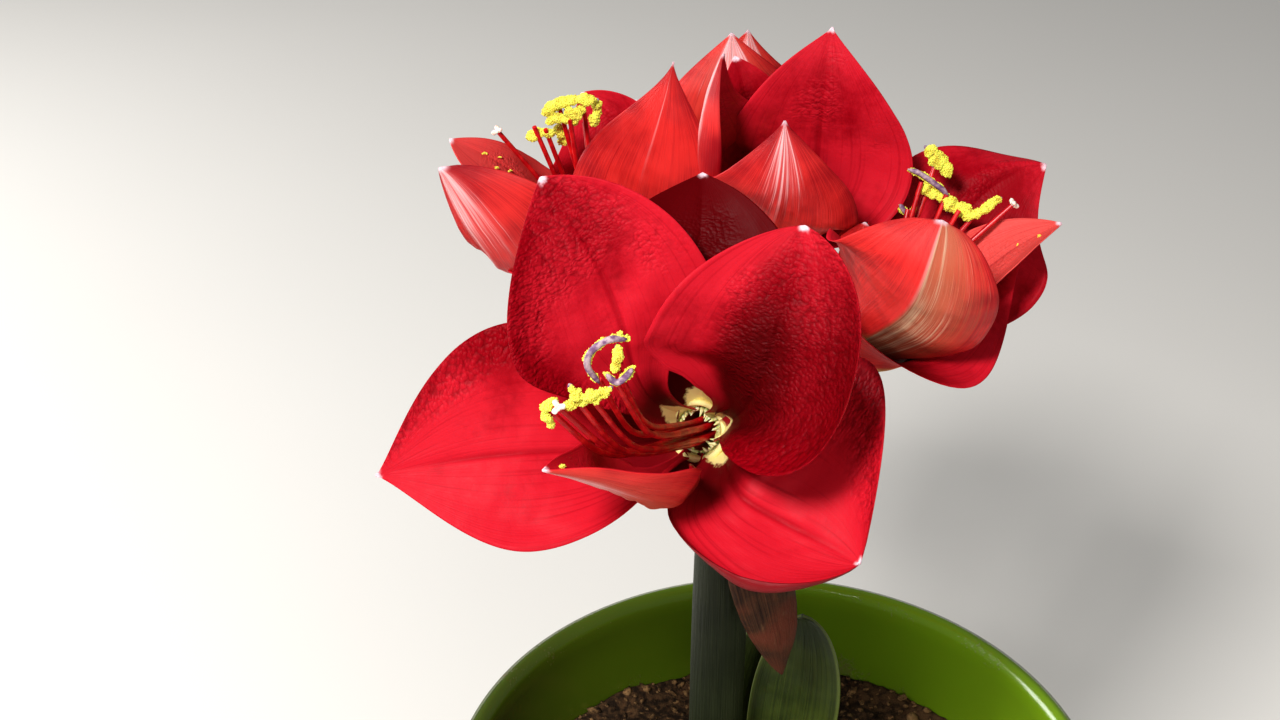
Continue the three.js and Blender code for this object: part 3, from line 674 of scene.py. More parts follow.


# A tone above zero paints a petal lighter, as lit, and one below zero darker, as in shade.
BLOOMS = {
    "front": {
        "throat": (-38, -72, 446), "axis": (-0.4, -0.8, 0.42), "petals": [
            petal(OUTER, 206, (-144, -95, 444), (-1, -0.1, -0.2), (0.1, -0.8, 0.6), 76, rise=46, hold=60,
                  cup=(75, 22, 15), point=1.25, claw=0.34, skew=-0.14, tone=0.06, bare=0.1,
                  rough=((0.6, -0.95, 0.4, 0.4, 1.0),)),
            # this petal lies in shade: its low tone paints it nearly black
            petal(OUTER, 90, (-38, -48, 530), (0, 0.9, 0.5), (0, -0.9, 0.4), 70, cup=(75, 25, 30), point=1,
                  tone=-0.75),
            # a keel below zero paints this petal's outside in shade, and its shade spots paint the shade on
            # its turned margin and at its root
            petal(OUTER, 335, (11, -128, 434), (0.75, -0.6, -0.1), (-0.2, -0.6, 0.7), 92, hold=50,
                  cup=(75, 40, 60), edge=(0, -60), skew=0.28, tone=0.12, fullest=0.6, point=0.7,
                  pale=(0, 0, -1.0), curls=((-1, 0.65, 0.3, 110, 0.7),), rough=((0.75, 0.8, 0.3, 0.35, 0.7),),
                  shade=((0.62, -1.05, 0.35, 0.15, 1.3), (0.28, 0.0, 0.14, 0.7, 0.7))),
            petal(INNER, 150, (-89, -70, 540), (-0.65, 0.45, 0.6), (0.2, -0.9, 0.4), 70, hold=55,
                  cup=(75, 25, 25), fullest=0.55, skew=0.08, ease=7, soft=1.0, tone=0.08,
                  rough=((0.95, 0.0, 0.3, 0.9, 1.0), (0.55, 1.0, 0.4, 0.35, 1.0)),
                  shade=((0.2, -0.4, 0.18, 0.6, 0.8), (0.8, 0.4, 0.3, 0.5, 0.3))),
            petal(INNER, 30, (-8, -88, 533), (0.2, 0.5, 0.8), (-0.3, -0.9, 0.3), 78, base=35, hold=45,
                  cup=(90, 34, 24), edge=(60, 20), point=0.75, skew=0.04, ease=4, tone=0.05, soft=1.0,
                  curls=((-1, 0.30, 0.14, 50, 0.1), (-1, 0.30, 0.14, -70, 0.5), (1, 0.34, 0.12, 50, 0.6)),
                  rough=((0.62, 0.15, 0.35, 0.40, 1.0), (0.55, -0.8, 0.5, 0.6, 1.0)),
                  shade=((0.28, 0.0, 0.16, 0.6, 1.1), (0.54, 0.15, 0.26, 0.35, 0.8),
                         (0.65, -0.7, 0.3, 0.6, 0.55))),
            petal(INNER, 270, (-87, -140, 479), (-0.9, -0.3, 0.4), (0.1, 0.3, 1), 48, base=50, rise=36,
                  cup=(80, 72, 62), wave=1.2, waves=3.2, pale=(0.3, 0.3, 1.6), bare=0.1, tone=0.1,
                  curls=((1, 0.34, 0.14, 40, 0.2),)),
        ],
        "anthers": [(-70, -141, 512), (-65, -144, 513), (-72, -148, 510), (-84, -151, 508),
                    (-65, -142, 518), (-77, -150, 512)],
        "stigma": (-81, -154, 511), "sag": 0.1,
    },
    "left": {
        "throat": (-65, 45, 428), "axis": (-0.45, 0.4, 0.75), "petals": [
            petal(OUTER, 350, (-128, 0, 507), (-0.4, 0.4, 0.8), (0.5, 0.8, -0.3), 56, hold=55,
                  cup=(75, 40, 20), point=0.7, skew=0.75, pale=(0.0, 0.0, 1.3)),
            petal(OUTER, 85, (-46, 42, 528), (0.2, 0.4, 0.9), (0.1, 0.8, -0.6), 60, cup=(75, 18, 12),
                  fullest=0.42, point=1.5, skew=0.14),
            petal(OUTER, 205, (-81, 92, 492), (-0.7, 0.5, 0.4), (0.1, -1, 0.3), 62, skew=0.3),
            petal(INNER, 265, (-129, 50, 493), (-0.9, 0.2, 0.3), (0.2, -0.3, 0.9), 48, cup=(75, 30, 20),
                  skew=0.45, tone=0.5),
            petal(INNER, 25, (-95, -15, 480), (-0.5, -0.2, 0.8), (0.2, 1, -0.1), 56, cup=(75, 45, 30)),
            petal(INNER, 145, (-55, 82, 489), (0.1, 0.5, 0.8), (-0.9, 0.1, -0.3), 42, cup=(75, 45, 30)),
        ],
        "anthers": [(-88, 52, 505), (-79, 56, 501), (-93, 46, 499), (-79, 60, 495), (-84, 48, 502),
                    (-97, 44, 501)],
        "stigma": (-110, 40, 501),
    },
    "right": {
        "throat": (16, -4, 437), "axis": (0.7, -0.1, 0.65), "petals": [
            petal(OUTER, 330, (91, 35, 490), (1, 0.2, 0.1), (-0.1, -0.9, 0.4), 72, cup=(75, 30, 20),
                  skew=-0.12, tone=-0.15, curls=((1, 0.95, 0.25, -90, 0.1),)),
            petal(INNER, 270, (91, 0, 485), (0.9, 0.1, 0.4), (-0.2, -0.2, 1), 36, cup=(75, 60, 40), tone=0.6),
            petal(INNER, 165, (41, -45, 511), (0.3, 0.6, 0.7), (0.2, 0.9, -0.3), 70, base=26, hold=36,
                  cup=(75, 40, 5), edge=(-50, 10), keel=10, fullest=0.5, point=0.5, skew=-0.1, ease=0.7,
                  pale=(0.0, 0.75, 0.4)),
            petal(OUTER, 215, (82, 6, 473), (0.7, 0.6, 0.5), (-0.1, -0.6, 0.8), 42, base=48, rise=27,
                  cup=(75, -10, 10), fullest=0.15, point=1.7, skew=-0.35, ease=0.8, tone=-0.12),
            petal(INNER, 30, (78, 50, 440), (0.8, 0.6, -0.2), (0.1, -0.6, 0.8), 40),
            petal(OUTER, 90, (20, -12, 492), (0.1, 0.2, 1), (0.7, 0.6, -0.3), 40),
        ],
        "anthers": [(48, 20, 499), (42, 12, 495), (51, 10, 491), (65, 8, 489), (38, 12, 484),
                    (55, 4, 488)],
        "stigma": (74, 6, 489),
    },
    "upper": {
        "throat": (-8, 30, 447), "axis": (0.05, 0.25, 0.95), "petals": [
            petal(OUTER, 90, (-9, -6, 528), (0, 0.5, 0.9), (0, 0.7, -0.7), 60, cup=(75, 30, 20), fullest=0.5,
                  point=1.2, pale=(0.0, 0.0, 1.3)),
            petal(INNER, 30, (-29, 18, 542), (0.4, 0.3, 0.8), (0.85, -0.35, -0.3), 52, cup=(75, 50, 50),
                  edge=(0, 80), point=1, tone=-0.05, pale=(0.0, 0.0, 1.9)),
            petal(OUTER, 210, (10, 38, 543), (0.2, 0.6, 0.8), (-0.1, -0.9, 0.4), 72, rise=40, base=12,
                  cup=(75, 20, 15), fullest=0.48, point=1.2),
            petal(OUTER, 330, (-24, 42, 530), (-0.3, 0.5, 0.8), (0.3, -0.9, 0.4), 42, rise=40, base=10,
                  cup=(75, 40, 30), tone=-0.2),
            petal(INNER, 270, (4, 80, 500), (0, 0.6, 0.8), (0, -0.9, 0.4), 46, cup=(75, 40, 30)),
            petal(INNER, 150, (6, 18, 490), (0.1, 0.4, 0.9), (-0.6, 0.6, -0.4), 34, rise=25, hold=20,
                  cup=(75, 40, 30)),
        ],
        "anthers": [(-10, 20, 497), (-3, 20, 500), (-6, 25, 500), (-12, 26, 498), (-2, 27, 497),
                    (-6, 18, 494)],
        "stigma": (-6, 22, 506),
    },
    "rear": {
        "throat": (-17, 80, 423), "axis": (-0.02, 0.75, 0.6), "petals": [
            petal(OUTER, 90, (-23, 90, 518), (0, 0.7, 0.7), (0, 0.8, -0.5), 72, point=1.1,
                  pale=(0.2, 0.2, 1.5)),
            petal(INNER, 150, (-16, 104, 513), (0, 0.8, 0.6), (-0.3, 0.8, -0.5), 60, point=1.1,
                  pale=(0.2, 0.2, 1.5)),
            petal(INNER, 30, (-60, 115, 478), (-0.3, 0.7, 0.6), (0.3, 0.8, -0.5), 62),
            petal(OUTER, 210, (30, 142, 463), (0.4, 0.9, 0.3), (-0.3, -0.6, 0.7), 52, skew=-0.1),
            petal(INNER, 270, (-20, 165, 440), (0, 1, -0.3), (0, 0.2, 1), 40, cup=(75, 60, 40)),
            petal(OUTER, 330, (-60, 150, 450), (-0.4, 0.9, 0.2), (0.4, -0.3, 0.9), 64),
        ],
    },
}


def bloom_frame(bloom):
    """The throat, and the bloom's x, y and z directions, with z along its axis."""
    z = unit(bloom["axis"])
    y = unit(np.array([0, 0, 1.0]) - z * z[2])
    return np.array(bloom["throat"], float), np.cross(y, z), y, z


def in_bloom(bloom, radius, turn, level):
    """A point at a radius, a turn in degrees and a level of the bloom."""
    throat, x, y, z = bloom_frame(bloom)
    turn = np.radians(turn)
    return throat + radius * (np.cos(turn) * x + np.sin(turn) * y) + level * z


def petal_curve(bloom, t):
    """The four points that the midrib hangs on, and where the root's inner side looks."""
    throat, _, _, z = bloom_frame(bloom)
    outward = in_bloom(bloom, 1, t["turn"], 0) - throat
    root = in_bloom(bloom, t["root"], t["turn"], 0)
    spread = np.radians(t["base"])
    lift = root + t["rise"] * (np.cos(spread) * z + np.sin(spread) * outward)
    lead = np.array(t["tip"]) - t["hold"] * unit(t["out"])
    return (root, lift, lead, np.array(t["tip"], float)), -outward


PETAL_SKIN = {}
for number, (name, bloom) in enumerate(BLOOMS.items()):
    shell = Shell()
    for k, own in enumerate(bloom["petals"]):
        curve, start = petal_curve(bloom, own)
        PETAL_SKIN[name, k] = blade(shell, own, curve, start, own["face"], 100 * number + 3 + 10 * k)
    dress(shell.make(f"petals_{name}", PETAL_INSIDE, PETAL_OUTSIDE), f"perianth_{name}")


# %% [markdown]
# ## Tubes under the petals
# Below the petals the bloom closes to a short tube, green where it sits on its ovary and red at the petals.
# It is turned as on a lathe, from radius and level along the axis, with a wall, so that one can look into it.

# %% Tubes under the petals
TUBE_OUTLINE = [(4.0, -25), (6.3, -24), (7.6, -16), (9.0, -7), (10.6, 1.5), (10.4, 3.2), (8.6, 2.6),
                (7.9, -7), (6.2, -20), (3, -21.3)]
TUBE_SEGMENTS = 48


def turned(outline, segments, steps=6):
    """Rings of points round +Z along a smoothed outline of radius and level, and the angle of each."""
    line = through([(r, 0, z) for r, z in outline], steps * (len(outline) - 1))[0]
    around = circle(segments)
    radius, level = line[:, 0:1], line[:, 2:3]
    points = np.stack([radius * np.cos(around), radius * np.sin(around), level + 0 * around], -1)
    return points, np.arctan2(points[..., 1], points[..., 0])


def on_axis(points, bloom):
    throat, x, y, z = bloom_frame(bloom)
    return throat + points[..., 0:1] * x + points[..., 1:2] * y + points[..., 2:3] * z


def tube_finish():
    f = Finish("tube", 0.4, 0.1)
    level, radius, turn = f.values("tube")
    hair = f.noise((turn * 30, level * 0.15, 0), 1.0, 4)
    colour = f.paint(KEEL_GREEN, (ORANGE_RED, f.step(level + hair * 10, -14, 2)),
                     (THROAT_CREAM, f.step(radius - level, 10, 8)))
    return f.finish(colour, 0.45, hair * 0.25)


TUBE_FINISH = tube_finish()
for name, bloom in BLOOMS.items():
    shell = Shell()
    points, turn = turned(TUBE_OUTLINE, TUBE_SEGMENTS)
    radius = np.hypot(points[..., 0], points[..., 1])
    shell.ring_grid(on_axis(points, bloom), 0,
                    {"tube": triple(turn.shape, points[..., 2], radius, np.abs(turn))})
    dress(shell.make(f"tube_{name}", TUBE_FINISH), f"perianth_{name}")


# %% [markdown]
# ## Geometry Nodes, with names
# What repeats or follows a path is left to Geometry Nodes. `grow` puts the tree on an object, sets the
# inputs by their identifiers and keeps the result as a plain mesh.

# %% Geometry Nodes, with names
class Tree(Net):
    """A Geometry Nodes tree with named inputs: numbers, whole numbers and the material."""

    def __init__(self, name, **inputs):
        super().__init__(bpy.data.node_groups.new(name, "GeometryNodeTree"))
        face = self.tree.interface
        face.new_socket("Geometry", in_out="INPUT", socket_type="NodeSocketGeometry")
        for label, value in inputs.items():
            kind = "NodeSocketInt" if isinstance(value, int) else "NodeSocketFloat"
            face.new_socket(label, in_out="INPUT", socket_type=kind).default_value = value
        face.new_socket("Material", in_out="INPUT", socket_type="NodeSocketMaterial")
        face.new_socket("Geometry", in_out="OUTPUT", socket_type="NodeSocketGeometry")
        group = self.tree.nodes.new("NodeGroupInput")
        self.inputs = {socket.name: Wire(self, socket) for socket in group.outputs}

    def random(self, low, high):
        """A number or a vector between two, drawn for each copy with the tree's seed."""
        kind, first, out = ("FLOAT_VECTOR", 0, 0) if isinstance(high, tuple) else ("FLOAT", 2, 1)
        sockets = {first: low, first + 1: high, "Seed": self.inputs["Seed"]}
        return self.add("FunctionNodeRandomValue", {"data_type": kind}, sockets, out)

    def pushed(self, surface, distance):
        """A surface moved along its normals."""
        offset = self.scaled(self.add("GeometryNodeInputNormal"), distance)
        return self.add("GeometryNodeSetPosition", {}, {"Geometry": surface, "Offset": offset})

    def copies(self, points, copy, turn, size):
        sockets = {"Points": points, "Instance": copy, "Rotation": turn, "Scale": size}
        return self.add("GeometryNodeInstanceOnPoints", {}, sockets)

    def strewn(self, surface, copy, turn, size, density):
        """Copies scattered on a surface, at least Spacing apart."""
        sockets = {"Mesh": surface, "Distance Min": self.inputs["Spacing"], "Density Max": density,
                   "Seed": self.inputs["Seed"]}
        settings = {"distribute_method": "POISSON"}
        points = self.add("GeometryNodeDistributePointsOnFaces", settings, sockets)
        return self.copies(points, copy, turn, size)

    def ball(self):
        return self.add("GeometryNodeMeshIcoSphere", {}, {"Radius": 1.0, "Subdivisions": 1})

    def end(self, geometry):
        real = self.add("GeometryNodeRealizeInstances", {}, {0: geometry})
        sockets = {"Geometry": real, "Material": self.inputs["Material"]}
        painted = self.add("GeometryNodeSetMaterial", {}, sockets)
        self.feed(self.tree.nodes.new("NodeGroupOutput").inputs[0], painted)
        return self.tree


def grow(name, carrier, tree, **values):
    """Runs a tree on an object and returns its result as a plain mesh object. The carrier goes."""
    modifier = carrier.modifiers.new("grow", "NODES")
    modifier.node_group = tree
    known = {item.name: item.identifier for item in tree.interface.items_tree if item.in_out == "INPUT"}
    for label, value in values.items():
        modifier[known[label]] = value
    piece = plain_copy(name, carrier)
    piece.data.polygons.foreach_set("use_smooth", [True] * len(piece.data.polygons))
    return piece


# %% [markdown]
# ## Filaments and styles
# Six red threads and one longer style leave the tube and lean together towards the open side. They follow
# paths, so a tree sweeps a small round section along them and lets it taper. The paths are those of the
# construction.

# %% Filaments and styles
FILAMENT_LEVELS = (-20, -3, 14)     # mm along the axis, until a thread leaves it
FILAMENT_CIRCLE = 3.4               # mm from the axis
FILAMENT_BOW = 0.06                 # share of the free length
FILAMENT_STEPS = 28
THREAD_RADIUS = 1.25                # mm at the root
THREAD_TAPER = 0.68                 # share of it at the end
HIDDEN_LEVELS = (50, 56, 53, 58, 51, 55)
HIDDEN_RADIUS = 7
HIDDEN_STIGMA = 66


def thread_tree():
    t = Tree("threads", Thickness=0.001, Taper=0.6)
    taper = t.inputs["Taper"]
    along = t.add("GeometryNodeSplineParameter", out="Factor")
    radius = ((1.0 - along) * (1.0 - taper) + taper) * t.inputs["Thickness"]
    curve = t.add("GeometryNodeSetCurveRadius", {}, {"Curve": t.inputs["Geometry"], "Radius": radius})
    section = t.add("GeometryNodeCurvePrimitiveCircle", {}, {"Resolution": 10, "Radius": 1.0})
    scale = t.add("GeometryNodeInputRadius")
    sockets = {"Curve": curve, "Profile Curve": section, "Fill Caps": True, "Scale": scale}
    return t.end(t.add("GeometryNodeCurveToMesh", {}, sockets))


def path_object(lines):
    """A curve object with one poly spline for each line of points, in millimetres."""
    data = bpy.data.curves.new("paths", "CURVE")
    data.dimensions = "3D"
    for line in lines:
        spline = data.splines.new("POLY")
        spline.points.add(len(line) - 1)
        spline.points.foreach_set("co", np.column_stack([line * MM, np.ones(len(line))]).ravel())
    return place_object("paths", data)


def stamen_line(bloom, radius, turn, end):
    root, low, leave = (in_bloom(bloom, radius, turn, level) for level in FILAMENT_LEVELS)
    reach = np.linalg.norm(end - leave)
    sag = np.array([0, 0, bloom.get("sag", 0) * reach])
    middle = (leave + end) / 2 + bloom_frame(bloom)[3] * FILAMENT_BOW * reach - sag
    return through([root, low, leave, middle, end], FILAMENT_STEPS)[0]


def stamen_paths(bloom):
    """The filaments' lines, the anthers' middles in the same order, and the style's line."""
    _, x, y, _ = bloom_frame(bloom)
    ends = bloom.get("anthers") or [in_bloom(bloom, HIDDEN_RADIUS, 60 * k + 30, level)
                                    for k, level in enumerate(HIDDEN_LEVELS)]
    ends = np.array(ends, float)
    stigma = np.array(bloom.get("stigma", in_bloom(bloom, 2, 270, HIDDEN_STIGMA)), float)
    off = ends - ends.mean(0)
    angle = np.degrees(np.arctan2(off @ y, off @ x))
    order = np.argsort(angle)
    lines = [stamen_line(bloom, FILAMENT_CIRCLE, angle[order[0]] + 60 * k, ends[i])
             for k, i in enumerate(order)]
    return lines, ends[order], stamen_line(bloom, 0, 0, stigma)


THREAD_TREE = thread_tree()
THREAD_FINISH = plain_finish("thread", 0.5, 0.2, (0.2, 2), (0.46, 0.002, 0.008), (0.74, 0.020, 0.020),
                             (0.4, 0.7), 0.35, 0.2)
for name, bloom in BLOOMS.items():
    lines, _, style = stamen_paths(bloom)
    threads = grow(f"filaments_{name}", path_object(lines + [style]), THREAD_TREE,
                   Thickness=THREAD_RADIUS * MM, Taper=THREAD_TAPER, Material=THREAD_FINISH)
    dress(threads, f"stamens_{name}")

# %% [markdown]
# ## Anthers and pollen
# Each thread carries an anther that has split open and curled. Its back is a smooth purple-grey band, and its
# front is a crust of yellow pollen in crumbs. The back is a thin tube along a curved line. The crust is a
# thicker tube whose surface a tree pushes in and out with noise and strews with grains, so that it gets the
# broken edge of the real thing. A crust thinner than zero turns the purple back to the viewer. Loose crumbs
# have fallen on the nearest petals.

# %% Anthers and pollen
ANTHER_RADIUS = 1.0           # mm
HIDDEN_LENGTH = 12            # mm
HIDDEN_POLLEN = 1.6           # mm
POLLEN_SPACING = 0.5          # mm
POLLEN_GRAIN = 0.5            # mm, largest radius
POLLEN_LEAST = 0.35           # share of it that the smallest grain has
POLLEN_LUMP = 2.6             # mm of relief
POLLEN_DENSITY = 8e6          # per square metre, before the spacing thins them out
STIGMA_LOBE = 0.85            # mm, radius
FALLEN_CRUMB = 0.3            # mm, radius
ROD_STEPS = 24
ROD_COLUMNS = 14
TO_VIEWER = (0, -0.84, 0.54)
ANTHERS = {                   # thickness of the pollen, and points along the anther
    "front": [
        (-0.9, [(-70, -141, 511), (-73, -142, 517), (-72, -142, 522), (-67, -142, 526), (-62, -140, 525)]),
        (1.2, [(-64.5, -141, 524), (-64.5, -142, 521), (-65, -142, 516)]),
        (-1.1, [(-68, -144, 516), (-65, -144, 513), (-62.5, -144, 514.5), (-60, -144, 518)]),
        (1.3, [(-80, -148, 507.5), (-75, -149, 509.5), (-70, -148, 511), (-66, -148, 514)]),
        (1.2, [(-81, -151, 511.5), (-84, -152, 511), (-85, -152, 507.5), (-83, -150, 501.5)]),
        (1.3, [(-78, -150, 516), (-76.5, -150, 513), (-73, -150, 512), (-70, -149, 513.5)]),
        (1.1, [(-64.5, -140, 526.5), (-63, -140, 525.5), (-61.5, -139, 524.5)]),
    ],
    "left": [
        (1.9, [(-94, 52, 502), (-89, 52, 506), (-82, 52, 508), (-74, 52, 508)]),
        (1.8, [(-74, 54, 507), (-74, 55, 502), (-76, 54, 497)]),
        (1.7, [(-100, 46, 495), (-95, 47, 497), (-90, 48, 496)]),
        (1.6, [(-93, 50, 500), (-87, 50, 501.5), (-81, 50, 500)]),
        (1.8, [(-90, 56, 495), (-87, 56, 492), (-87, 56, 488)]),
        (2.0, [(-86, 50, 505), (-82, 50, 503), (-79, 52, 505)]),
    ],
    "right": [
        (2.4, [(44, 20, 505), (47, 20, 501), (50, 20, 498), (53, 19, 494)]),
        (-1.3, [(37, 14, 499), (41, 13, 498), (47, 12, 494), (51, 12, 490), (52, 12, 483)]),
        (2.2, [(50, 10, 489), (55, 9, 486), (60, 8, 486)]),
        (1.4, [(56, 7, 484), (61, 6, 485), (66, 6, 489), (70, 6, 492)]),
        (-0.9, [(35, 14, 485), (38, 13, 482), (41, 13, 484)]),
        (1.8, [(42, 14, 493), (46, 13, 490), (51, 12, 488)]),
    ],
}
FALLEN = {                    # along and across the petal with this number
    ("front", 5): [(0.93, -0.5), (0.62, 0.7), (0.8, 0.35)],
    ("left", 3): [(0.86, 0.0), (0.80, -0.2), (0.80, 0.25), (0.74, 0.1)],
    ("right", 1): [(0.45, 0.2), (0.62, -0.2), (0.8, 0.1), (0.9, -0.3), (0.55, 0.5)],
    ("front", 3): [(0.42, 0.25)],
}


def anther_lines(name, bloom, ends):
    """The pollen's thickness and the points of each anther."""
    if name in ANTHERS:
        return ANTHERS[name]
    throat = bloom_frame(bloom)[0]
    lines = []
    for k, end in enumerate(ends):
        out = unit(end - throat)
        along = unit(np.cross(out, [np.cos(k), np.sin(k), 0.3])) * HIDDEN_LENGTH / 2
        lines.append((HIDDEN_POLLEN, [end - along - out * 2, end, end + along - out * 2]))
    return lines


def rod(shell, points, radius, shift, seed, flat=0.8, lumps=0.0):
    """A bent rod with closed, rounded ends, moved by shift towards the viewer's side. Its girth may vary."""
    line, along, length = through(points, ROD_STEPS)
    s = np.linspace(-1, 1, len(line))
    uneven = 1 + lumps * ripples(s * length / 2, 0 * s, 4, seed)
    girth = radius * np.clip(1 - np.abs(s) ** 6, 0.04, 1) ** 0.5 * uneven
    tube_along(shell, line, along, girth, ROD_COLUMNS, TO_VIEWER, flat, shift)


def grain_tree():
    t = Tree("grains", Spacing=0.001, Grain=0.0006, Seed=1, Lump=0.001)
    noise = t.add("ShaderNodeTexNoise", {}, {"Scale": 420.0, "Detail": 2.0})
    crust = t.pushed(t.inputs["Geometry"], (noise - 0.5) * t.inputs["Lump"])
    size = t.random(t.inputs["Grain"] * POLLEN_LEAST, t.inputs["Grain"])
    spin = t.random((0, 0, 0), (6.3, 6.3, 6.3))
    grains = t.strewn(crust, t.ball(), spin, size, POLLEN_DENSITY)
    join = t.add("GeometryNodeJoinGeometry", {}, {0: grains})
    t.feed(join.socket.node.inputs[0], crust)
    return t.end(join)


def pollen_finish():
    f = Finish("pollen", 0.5, 0.15, 0.8)
    slow = f.noise(f.place(), 0.35, 3)
    fine = f.noise(f.place(), 2.2, 3)
    colour = f.paint((0.46, 0.30, 0.02), ((0.90, 0.84, 0.12), f.step(slow * 0.5 + fine * 0.5, 0.32, 0.52)))
    return f.finish(colour, 0.85, fine * 0.3)


def build_stigma(name, style):
    """Three short white lobes at the end of the style."""
    shell = Shell()
    end, out = style[-1], unit(style[-1] - style[-3])
    first = unit(np.cross(out, [0.3, 0.2, 1]))
    for turn in np.radians((90, 210, 330)):
        lobe = first * np.cos(turn) + np.cross(out, first) * np.sin(turn)
        rod(shell, [end, end + lobe * 1.3 + out * 0.9, end + lobe * 2.3 + out * 0.6], STIGMA_LOBE, 0, 5)
    dress(shell.make(f"stigma_{name}", STIGMA_FINISH), f"stamens_{name}")


def on_petal(owner, petal, u, v):
    """A point of a petal's inner face."""
    grid = PETAL_SKIN[owner, petal]
    return grid[round(u * (len(grid) - 1)), round((v + 1) / 2 * (grid.shape[1] - 1))]


GRAIN_TREE = grain_tree()
ANTHER_FINISH = plain_finish("anther_back", 0.4, 0.0, (0.5, 3), (0.17, 0.08, 0.17), (0.46, 0.32, 0.36),
                             (0.40, 0.64), 0.5, 0.3)
POLLEN_FINISH = pollen_finish()
STIGMA_FINISH = plain_finish("stigma", 0.5, 0.3, (0.8, 2), (0.80, 0.60, 0.50), (0.92, 0.88, 0.78),
                             (0.4, 0.6), 0.5, 0.2)
for k, (name, bloom) in enumerate(BLOOMS.items()):
    _, ends, style = stamen_paths(bloom)
    build_stigma(name, style)
    backs, crusts = Shell(), Shell()
    for i, (pollen, points) in enumerate(anther_lines(name, bloom, ends)):
        rod(backs, points, ANTHER_RADIUS, -0.7 * pollen, 40 * k + i, lumps=0.1)
        rod(crusts, points, abs(pollen), 0.45 * pollen, 40 * k + i + 7, 0.7, 0.35)
    for (owner, number), places in FALLEN.items():
        for u, v in places if owner == name else ():
            at = on_petal(owner, number, u, v)
            rod(crusts, [at, at + (0.8, 0.3, 0.2), at + (1.7, 0.2, 0.1)], FALLEN_CRUMB, 0, k + 3)
    dress(backs.make(f"anthers_{name}", ANTHER_FINISH), f"stamens_{name}")
    pollen = grow(f"pollen_{name}", crusts.make("crust"), GRAIN_TREE, Spacing=POLLEN_SPACING * MM,
                  Grain=POLLEN_GRAIN * MM, Lump=POLLEN_LUMP * MM, Seed=k + 5, Material=POLLEN_FINISH)
    dress(pollen, f"stamens_{name}")

# %% [markdown]
# ## Fringe in the throat
# Where the petals leave the tube stands a ring of small pale scales, cut to a fringe. A tree repeats one
# pointed tooth round the mouth, each leaning the way that its point's own direction says, and a little askew.

# %% Fringe in the throat
FRINGE_TEETH = 30
FRINGE_RADIUS = 7.4           # mm
FRINGE_HEIGHT = 5.2           # mm, the longest tooth
FRINGE_WIDTH = 0.9            # mm
FRINGE_LEAN = 0.45            # towards the axis


def fringe_tree():
    t = Tree("fringe", Height=0.004, Width=0.0012, Seed=1)
    tooth = t.add("GeometryNodeMeshCone", {}, {"Vertices": 7, "Side Segments": 4, "Radius Top": 0.12,
                                               "Radius Bottom": 1.0, "Depth": 1.0})
    lean = t.add("GeometryNodeInputNamedAttribute", {"data_type": "FLOAT_VECTOR"}, {"Name": "lean"})
    upright = t.add("FunctionNodeAlignRotationToVector", {"axis": "Z"}, {"Vector": lean})
    sway = t.random((-0.35, -0.35, 0), (0.35, 0.35, 6.3))
    swayed = t.add("FunctionNodeRotateRotation", {"rotation_space": "LOCAL"}, {0: upright, 1: sway})
    height, width = t.inputs["Height"], t.inputs["Width"]
    size = t.vector(width, width, t.random(height * 0.5, height))
    return t.end(t.copies(t.inputs["Geometry"], tooth, swayed, size))


def mouth_points(bloom):
    """Loose points round the mouth, each with the direction that its tooth leans in."""
    throat, _, _, z = bloom_frame(bloom)
    around = [360 * i / FRINGE_TEETH for i in range(FRINGE_TEETH)]
    mesh = bpy.data.meshes.new("mouth")
    mesh.from_pydata([in_bloom(bloom, FRINGE_RADIUS, a, 0) * MM for a in around], [], [])
    lean = [unit(z - FRINGE_LEAN * (in_bloom(bloom, 1, a, 0) - throat)) for a in around]
    keep_vectors(mesh, "lean", lean)
    return place_object("mouth", mesh)


FRINGE_TREE = fringe_tree()
FRINGE_FINISH = plain_finish("fringe", 0.5, 0.3, (0.6, 2), (0.55, 0.60, 0.22), (0.90, 0.84, 0.52),
                             (0.35, 0.6), 0.5, 0.2)
for k, (name, bloom) in enumerate(BLOOMS.items()):
    fringe = grow(f"fringe_{name}", mouth_points(bloom), FRINGE_TREE, Height=FRINGE_HEIGHT * MM,
                  Width=FRINGE_WIDTH * MM, Seed=k + 2, Material=FRINGE_FINISH)
    dress(fringe, f"throat_ring_{name}")

# %% [markdown]
# ## Scape
# The stem, its five short branches and the ovaries under the blooms grew as one. Overlapping tubes are laid
# down first and then remeshed to one skin, which rounds every fork as growth does. Fine ribs and a waxy bloom
# come from the finish.

# %% Scape
SCAPE_RADIUS = 11
SCAPE_PATH = [(-26, -10, 181), (-27, -10, 250), (-26.5, -9, 320), (-25, -8, 380)]
UMBEL = np.array([-25.0, -8.0, 380.0])
KNOB_RADIUS = 14              # the swelling that the branches leave from
KNOB_HALF = 12
KNOB_ROWS = 16
PEDICEL_RADIUS = 5.4
PEDICEL_REACH = 0.4           # share of its length that its two ends lead straight on
OVARY_MIDDLE = -31            # mm under the throat
OVARY_OUTLINE = [(0.4, -46), (5, -43), (7.4, -37), (7.8, -31), (6.4, -24.4), (0.4, -24.0)]
OVARY_LOBES = 0.05            # share of the radius, for three soft lobes
SCAPE_VOXEL = 1.0             # mm
SCAPE_RELAX = 6               # rounds of smoothing


